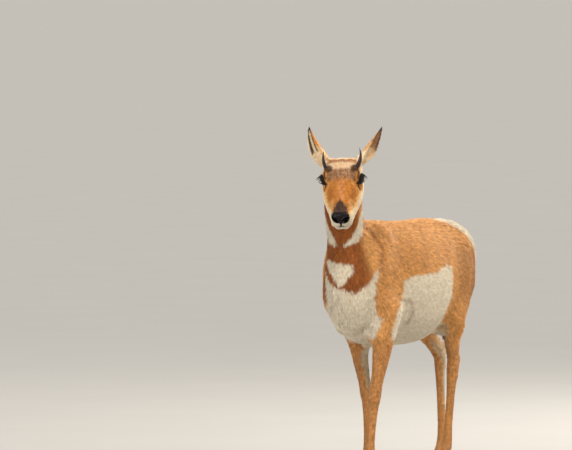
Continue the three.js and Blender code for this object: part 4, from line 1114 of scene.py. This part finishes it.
def tuft_sizes(region, root, normal):
    """Length, width and lift of each tuft in millimetres."""
    place = to_body(root)
    z = place[:, 2]
    length = np.full(len(root), float(TUFT_LENGTH[region]))
    width = np.full(len(root), float(TUFT_WIDTH[region]))
    lift = coat_depth(root)
    if region in ("trunk", "neck"):
        rump = rump_share(-230, -270, place)
        length += 12 * rump
        lift += 2 * rump
        length *= interp(z, [440, 520], [0.75, 1])
    if region in LEGS:
        length *= interp(z, [60, 200, 400, 450], [0.5, 0.62, 1.1, 1.6])
        width *= interp(z, [60, 400], [0.7, 1.2])
    if region == "head":
        x, y, z = to_head(root).T
        length *= 1 - 0.55 * ramp(110, 150, x)
        crown = ramp(-30, -52, x) * ramp(0, 14, z) * ramp(38, 28, abs(y))
        length += 3.5 * crown
        lift = np.maximum(lift, 0.6) + 2.4 * crown
        for word in SIDES:
            length *= 1 - 0.6 * ramp(42, 34, eye_place(word, root)[0])
    if region.endswith("ear"):
        word = region.split("_")[0]
        bowl = ramp(0.1, 0.5, np.sum(normal * ear_front(word, root), axis=1))
        length += 6 * bowl
        lift += 0.8 * bowl
        along, across, _ = in_ear(word, root)
        near_rim = ramp(8, 3, from_rim(along, across))
        length *= 1 - 0.6 * ramp(0.72, 0.98, along)
        length *= 1 - 0.6 * near_rim
        lift *= 1 - 0.7 * near_rim
    return length, width, lift


def with_grain(root, colour):
    """Makes each tuft a little lighter or darker, in clumps and by itself. White hair varies less."""
    place = to_body(root)
    grain = 0.17 * rng.normal(size=len(root)) + 0.13 * wobble(place * (0.35, 1, 1), 9, 41)
    grain = grain + 0.09 * wobble(place * (0.4, 1, 1), 24, 42)
    pale = ramp(0.12, 0.35, colour[:, 2])
    factor = np.clip(1 + grain * (1 - 0.62 * pale) + 0.04 * pale, 0.55, 1.5)
    return np.clip(colour * factor[:, None], 0, 1)


def make_coat(points, triangles, normals, bare):
    middles = points[triangles].mean(1)
    density = np.array([TUFTS_PER_CM2[name] for name in region_of(middles)], float)
    density[bare > 0.3] = 0
    density[to_body(middles)[:, 2] < BARE_BELOW] = 0
    root, normal = scatter(points, triangles, normals, density)
    where = region_of(root)
    way = lie_of(root, normal)
    half = np.array([TUFT_LENGTH[name] for name in where]) * 0.5
    colour = with_grain(root, paint(root + way * half[:, None] * MM, normal))
    for name in REGIONS:
        mine = np.nonzero(where == name)[0]
        turn, along = unwrap(name, root[mine])
        parts = math.ceil(len(mine) / MOST_TUFTS)
        limits = np.quantile(along, np.linspace(0, 1, parts + 1))
        for k in range(parts):
            inside = (along >= limits[k]) & ((along < limits[k + 1]) | (k == parts - 1))
            chosen = mine[inside]
            at = root[chosen], normal[chosen]
            sizes = tuft_sizes(name, *at) * rng.uniform(0.75, 1.2, (3, len(chosen)))
            blades, faces, shaded = tuft_arrays(*at, way[chosen], *sizes, colour[chosen])
            piece = mesh_object(f"coat_{name}_{k + 1}", blades, faces)
            write_colours(piece.data, "coat", shaded)
            write_tuft_map(piece.data, turn[inside], along[inside])
            dress(piece, COAT_SURFACE, "white_coat" if name == "tail" else "coat")
    print("tufts", len(root))


# Eyes

EYE_RINGS, EYE_SPOKES = 64, 96
IRIS = (0.022, 0.011, 0.006)
IRIS_RAY = (0.030, 0.014, 0.007)
PUPIL = (0.006, 0.006, 0.010)
EYE_WHITE = (0.008, 0.006, 0.005)
RAYS = 37
LID_POINTS = 72
LASH_CLUMPS, CLUMP_LASHES, LOW_CLUMPS, LOW_LASHES = 5, 7, 3, 3
LASH_OUT = (28, 33, 36.5, 32, 26)  # how far the tips of the clumps stand out from the eye's middle
LASH_RISE = (-9, -4.5, -1, 4, 10)
LASH_STEPS = ((0, 0.45), (0.35, 0.42), (0.7, 0.3), (1.0, 0.08))  # share of the length, and half width there
LASH_THICK = 0.5


def make_eye(word):
    """A ball with a bulged cornea, painted as iris, bar of the pupil and dark white of the eye."""
    look, along, _ = (way @ HEAD_AXES for way in eye_axes(word))
    rows = np.radians(np.linspace(0, 180, EYE_RINGS + 1))
    turns = np.radians(np.arange(EYE_SPOKES) * 360 / EYE_SPOKES)
    row, turn = np.meshgrid(rows, turns, indexing="ij")
    ball = np.stack([np.cos(row), np.sin(row) * np.cos(turn), np.sin(row) * np.sin(turn)], axis=-1)
    radius = (EYE_RADIUS - 0.5) * (1 + 0.028 * ramp(math.radians(42), math.radians(15), row))[..., None]
    local = (ball * radius).reshape(-1, 3)
    points = eye_at[word] + local @ np.stack([look, along, np.cross(look, along)]) * MM
    piece = mesh_object(f"{word}_eyeball", points, grid_faces(EYE_RINGS, EYE_SPOKES, EYE_RINGS + 1))
    a, b = local[:, 1] / EYE_RADIUS, local[:, 2] / EYE_RADIUS
    away = np.hypot(a, b)
    rays = 0.5 + 0.5 * np.sin(np.arctan2(b, a) * RAYS)
    eye = Layers(points, IRIS)
    eye.lay(IRIS_RAY, ramp(0.56, 0.45, away) * rays)
    eye.lay(PUPIL, ramp(1.1, 0.9, np.hypot(a / 0.36, b / 0.22)))
    eye.lay(EYE_WHITE, ramp(0.52, 0.62, away))
    write_colours(piece.data, "eye", eye.colour)
    dress(piece, EYE_SURFACE, "eye", f"{word}_eye")


def ring_tube(name, path, radius, spokes=8):
    """A round bar along a closed path, with a radius at each point of it."""
    way = unit(np.roll(path, -1, 0) - np.roll(path, 1, 0))
    guide = unit(np.cross(way, unit(path - path.mean(0)) + np.array([1e-3, 2e-3, 3e-3])))
    other = np.cross(way, guide)
    turns = np.arange(spokes) * 2 * math.pi / spokes
    out = guide[:, None] * np.cos(turns)[None, :, None] + other[:, None] * np.sin(turns)[None, :, None]
    rings = path[:, None] + out * radius[:, None, None]
    return mesh_object(name, rings.reshape(-1, 3), grid_faces(len(path), spokes, len(path)))


def on_lid(word, turn, ring, height):
    """Points on the lids, by angle round the opening, how far out, and height off the eye's middle."""
    look, along, across = eye_axes(word)
    a = EYE_LONG * ring * np.sign(np.cos(turn)) * abs(np.cos(turn)) ** (2 / LONG_POWER)
    b = EYE_SHORT * ring * np.sign(np.sin(turn)) * abs(np.sin(turn)) ** (2 / SHORT_POWER)
    way = unit(look[None] + along[None] * np.tan(a)[:, None] + across[None] * np.tan(b)[:, None])
    return eye_at[word] + (way * height) @ HEAD_AXES * MM


def make_lids(word):
    """The dark wet edge of the lids, and the lashes: a fan of clumps above and a few small ones below."""
    turn = np.arange(LID_POINTS) * 2 * math.pi / LID_POINTS
    edge = ring_tube(
        f"{word}_lid_edge", on_lid(word, turn, 1.03, EYE_RADIUS + 1.0), (0.85 + 0.25 * np.sin(turn)) * MM)
    dress(edge, LID_SURFACE, "eye")

    fan = np.repeat(np.linspace(0, 1, LASH_CLUMPS), CLUMP_LASHES)
    small = np.repeat(np.linspace(0, 1, LOW_CLUMPS), LOW_LASHES)
    in_clump = np.tile(np.linspace(-9, 9, CLUMP_LASHES), LASH_CLUMPS)
    upper = np.radians(66 + 76 * fan + in_clump) + rng.normal(0, 0.03, len(fan))
    lower = np.radians(-30 - 40 * small) + rng.normal(0, 0.05, len(small))
    foot = on_lid(word, np.concatenate([upper, lower]), 1.1, EYE_RADIUS + 1.8)
    count = len(foot)
    clumps = np.linspace(0, 1, LASH_CLUMPS)
    out = np.concatenate([interp(fan, clumps, LASH_OUT), np.full(len(small), 25.5)])
    rise = np.concatenate([interp(fan, clumps, LASH_RISE), -10 - 3 * small])
    ahead = (foot - eye_at[word]) @ head_level + 4 * MM
    away = head_left * SIDES[word] * out[:, None] + UP * rise[:, None] + rng.normal(0, 0.3, (count, 3))
    tip = eye_at[word] + away * MM + head_level * ahead[:, None]
    look = eye_axes(word)[0] @ HEAD_AXES
    far = np.linalg.norm(tip - foot, axis=1, keepdims=True)
    knee = (foot + tip) / 2 + (look - UP * 0.1) * far * 0.12
    across = unit(np.cross(unit(tip - foot), unit(foot - eye_at[word])))
    rows = []
    for share, half in LASH_STEPS:
        at = foot * (1 - share) ** 2 + knee * 2 * share * (1 - share) + tip * share ** 2
        rows += [at - across * half * MM, at + across * half * MM]
    start = np.arange(count)[:, None] * len(rows)
    faces = np.concatenate([start + np.array([[k, k + 1, k + 3, k + 2]]) for k in (0, 2, 4)])
    lashes = mesh_object(f"{word}_lashes", np.stack(rows, axis=1).reshape(-1, 3), faces)
    lashes.modifiers.new("thick", "SOLIDIFY").thickness = LASH_THICK * MM
    dress(lashes, LASH_SURFACE, "eye")


# Horns and hooves: finer copies of their solids

COPY_ROUNDS = 8
HORN_VOXEL, HOOF_VOXEL = 0.9, 1.2
HORN_GROOVES = 11
RELIEF = 0.22  # depth of grooves and growth rings in millimetres


def finer_copy(name, node, surface, slot, voxel, shape):
    raw = mesh_object("raw", *node_arrays(node))
    points, triangles = with_modifier(raw, "REMESH", mode="VOXEL", voxel_size=voxel * MM)
    points = relaxed(points, edges_of(triangles), 1.0, COPY_ROUNDS)
    normals = point_normals(points, triangles)
    out = shape(points, normals)[:, None] * MM
    dress(mesh_object(name, points + normals * out, triangles), surface, slot, node)


def horn_relief(points, normals):
    """Low rings near the base and long shallow grooves to the tip."""
    x, y, z = to_head(points).T
    up = (x.max() - x) + 0.4 * z
    rings = 0.2 * np.sin(up * 1.1) * ramp(34, 8, up - up.min())
    turn = np.arctan2(y - y.mean(), z - z.mean())
    return rings + RELIEF * np.sin(turn * HORN_GROOVES + up * 0.05)


def hoof_relief(points, normals):
    """Growth rings round the wall, weaker towards the ground."""
    z = to_body(points)[:, 2]
    wall = ramp(0.9, 0.5, abs(normals[:, 2])) * ramp(2, 6, z)
    return RELIEF * np.sin(z * 1.25) * wall - 0.15


# Surfaces

EYE_SURFACE = material("eye_wet", 0.06, paint="eye", specular=0.12)
LID_SURFACE = material(
    "lid_skin", 0.38, colour=((0.012, 0.009, 0.008), (0.03, 0.022, 0.02), 300),
    bump=[(900, 0.15, (1, 1, 1))])
LASH_SURFACE = material(
    "lash", 0.55, colour=((0.008, 0.006, 0.005), (0.02, 0.013, 0.010), 200), specular=0.12)
SKIN_SURFACE = material(
    "skin_under_coat", 0.75, paint="coat", sheen=0.1, specular=0.2,
    bump=[(700, 0.5, (0.25, 1, 1)), (160, 1.2, (0.4, 1, 1))])
NOSE_SURFACE = material(
    "nose_leather", 0.19, colour=((0.003, 0.002, 0.002), (0.009, 0.007, 0.007), 260), specular=0.16,
    bump=[(520, 0.35, (1, 1, 1)), (1500, 0.12, (1, 1, 1))])
COAT_SURFACE = material("coat_hair", 0.62, paint="coat", sheen=0.12, specular=0.18)
HORN_SURFACE = material(
    "horn_keratin", 0.4, colour=((0.008, 0.006, 0.006), (0.035, 0.020, 0.014), 120), specular=0.3,
    bump=[(260, 0.5, (1, 1, 0.15)), (1200, 0.1, (1, 1, 0.3))])
HOOF_SURFACE = material(
    "hoof_keratin", 0.45, colour=((0.016, 0.012, 0.010), (0.07, 0.05, 0.035), 90),
    bump=[(150, 0.5, (0.3, 0.3, 2)), (900, 0.15, (1, 1, 1))])

# The skin

GROIN_HOLLOW = 14  # how far the belly's skin rises in front of the left thigh
UNDER_HAIR = 0.9  # the skin is this much darker than the hair on it


def muzzle_and_eyes(points):
    near = to_head(points)[:, 0] > 128
    for word in SIDES:
        distance, ring, _, _ = eye_place(word, points)
        near |= (distance < 40) & (ring < 3)
    return near & (head_share(points) > 0.5)


def make_skin():
    points, triangles = smoothed_union()
    points, triangles = finer(points, triangles, muzzle_and_eyes(points))
    on_head = (head_share(points) > 0.5)[:, None]
    points = relaxed(points, edges_of(triangles), on_head * 0.8, FACE_ROUNDS)
    normals = point_normals(points, triangles)
    points = turn_ears(points - normals * coat_depth(points)[:, None] * MM)
    x, y, z = to_body(points).T
    hollow = bell(40, x + 150) * bell(30, y - 90) * ramp(530, 495, z) * ramp(440, 470, z)
    hollow *= ramp(0.1, -0.4, normals[:, 2])
    points = points + UP * GROIN_HOLLOW * hollow[:, None] * MM
    bare_points = bare_share(points)
    colour = mix(paint(points, normals), BLACK, bare_points)
    points = carve_face(points, triangles)
    skin = mesh_object("skin", points, triangles)
    write_colours(skin.data, "coat", colour * UNDER_HAIR)
    dress(skin, SKIN_SURFACE, "coat", *[name for name in FLESH if not name.endswith("eye")])
    skin.data.materials.append(NOSE_SURFACE)
    bare = bare_points[triangles].mean(1)
    skin.data.polygons.foreach_set("material_index", (bare > 0.5).astype(np.int32))
    print("skin", len(triangles))
    return points, triangles, point_normals(points, triangles), bare


# Floor and lights

FLOOR_HALF_WIDTH = 1200
FLOOR_COLOURS = ((0.38, 0.37, 0.355), (0.41, 0.40, 0.385), 2)
WORLD_COLOUR = (0.93, 0.92, 0.90, 1)
WORLD_STRENGTH = 0.72
LIGHT_TARGET = Vector((0, 0, 0.65))
LIGHTS = {  # kind, heading in degrees, distance and height in metres, power, colour, and how soft it is
    "key": ("SUN", 68, 5.878, 8.740, 2.55, (1.0, 0.94, 0.84), {"angle": math.radians(28)}),
    "fill": ("AREA", -8, 6.0, 2.2, 155, (1.0, 0.97, 0.93), {"shape": "DISK", "size": 3.5}),
    "rim": ("AREA", 160, 4.4, 3.2, 240, (1.0, 0.92, 0.80), {"shape": "DISK", "size": 1.6}),
}


def make_floor():
    made = bmesh.new()
    bmesh.ops.create_grid(made, x_segments=4, y_segments=4, size=FLOOR_HALF_WIDTH)
    mesh = bpy.data.meshes.new("floor")
    made.to_mesh(mesh)
    made.free()
    floor = bpy.data.objects.new("floor", mesh)
    floor.location = (0, 0, cad_low[2])
    bpy.context.scene.collection.objects.link(floor)
    floor.data.materials.append(material("floor_paper", 0.85, colour=FLOOR_COLOURS))


def make_lights():
    world = bpy.data.worlds.new("studio")
    world.use_nodes = True
    world.node_tree.nodes["Background"].inputs["Color"].default_value = WORLD_COLOUR
    world.node_tree.nodes["Background"].inputs["Strength"].default_value = WORLD_STRENGTH
    bpy.context.scene.world = world
    bpy.context.scene.view_settings.view_transform = "Standard"
    for name, (kind, heading, away, height, power, colour, softness) in LIGHTS.items():
        data = bpy.data.lights.new(name, kind)
        data.energy = power
        data.color = colour
        for key, value in softness.items():
            setattr(data, key, value)
        lamp = bpy.data.objects.new(name, data)
        turn = math.radians(heading)
        lamp.location = (away * math.cos(turn), away * math.sin(turn), height)
        lamp.rotation_euler = (LIGHT_TARGET - lamp.location).to_track_quat("-Z", "Y").to_euler()
        bpy.context.scene.collection.objects.link(lamp)


# The scene

make_camera()
make_floor()
make_lights()
make_coat(*make_skin())
for word in SIDES:
    make_eye(word)
    make_lids(word)
    finer_copy(f"{word}_horn_sheath", f"{word}_horn", HORN_SURFACE, "horn", HORN_VOXEL, horn_relief)
for leg in LEGS:
    for half in ("outer", "inner"):
        foot = f"{leg}_{half}"
        finer_copy(f"{foot}_hoof", f"{foot}_claw", HOOF_SURFACE, "hoof", HOOF_VOXEL, hoof_relief)
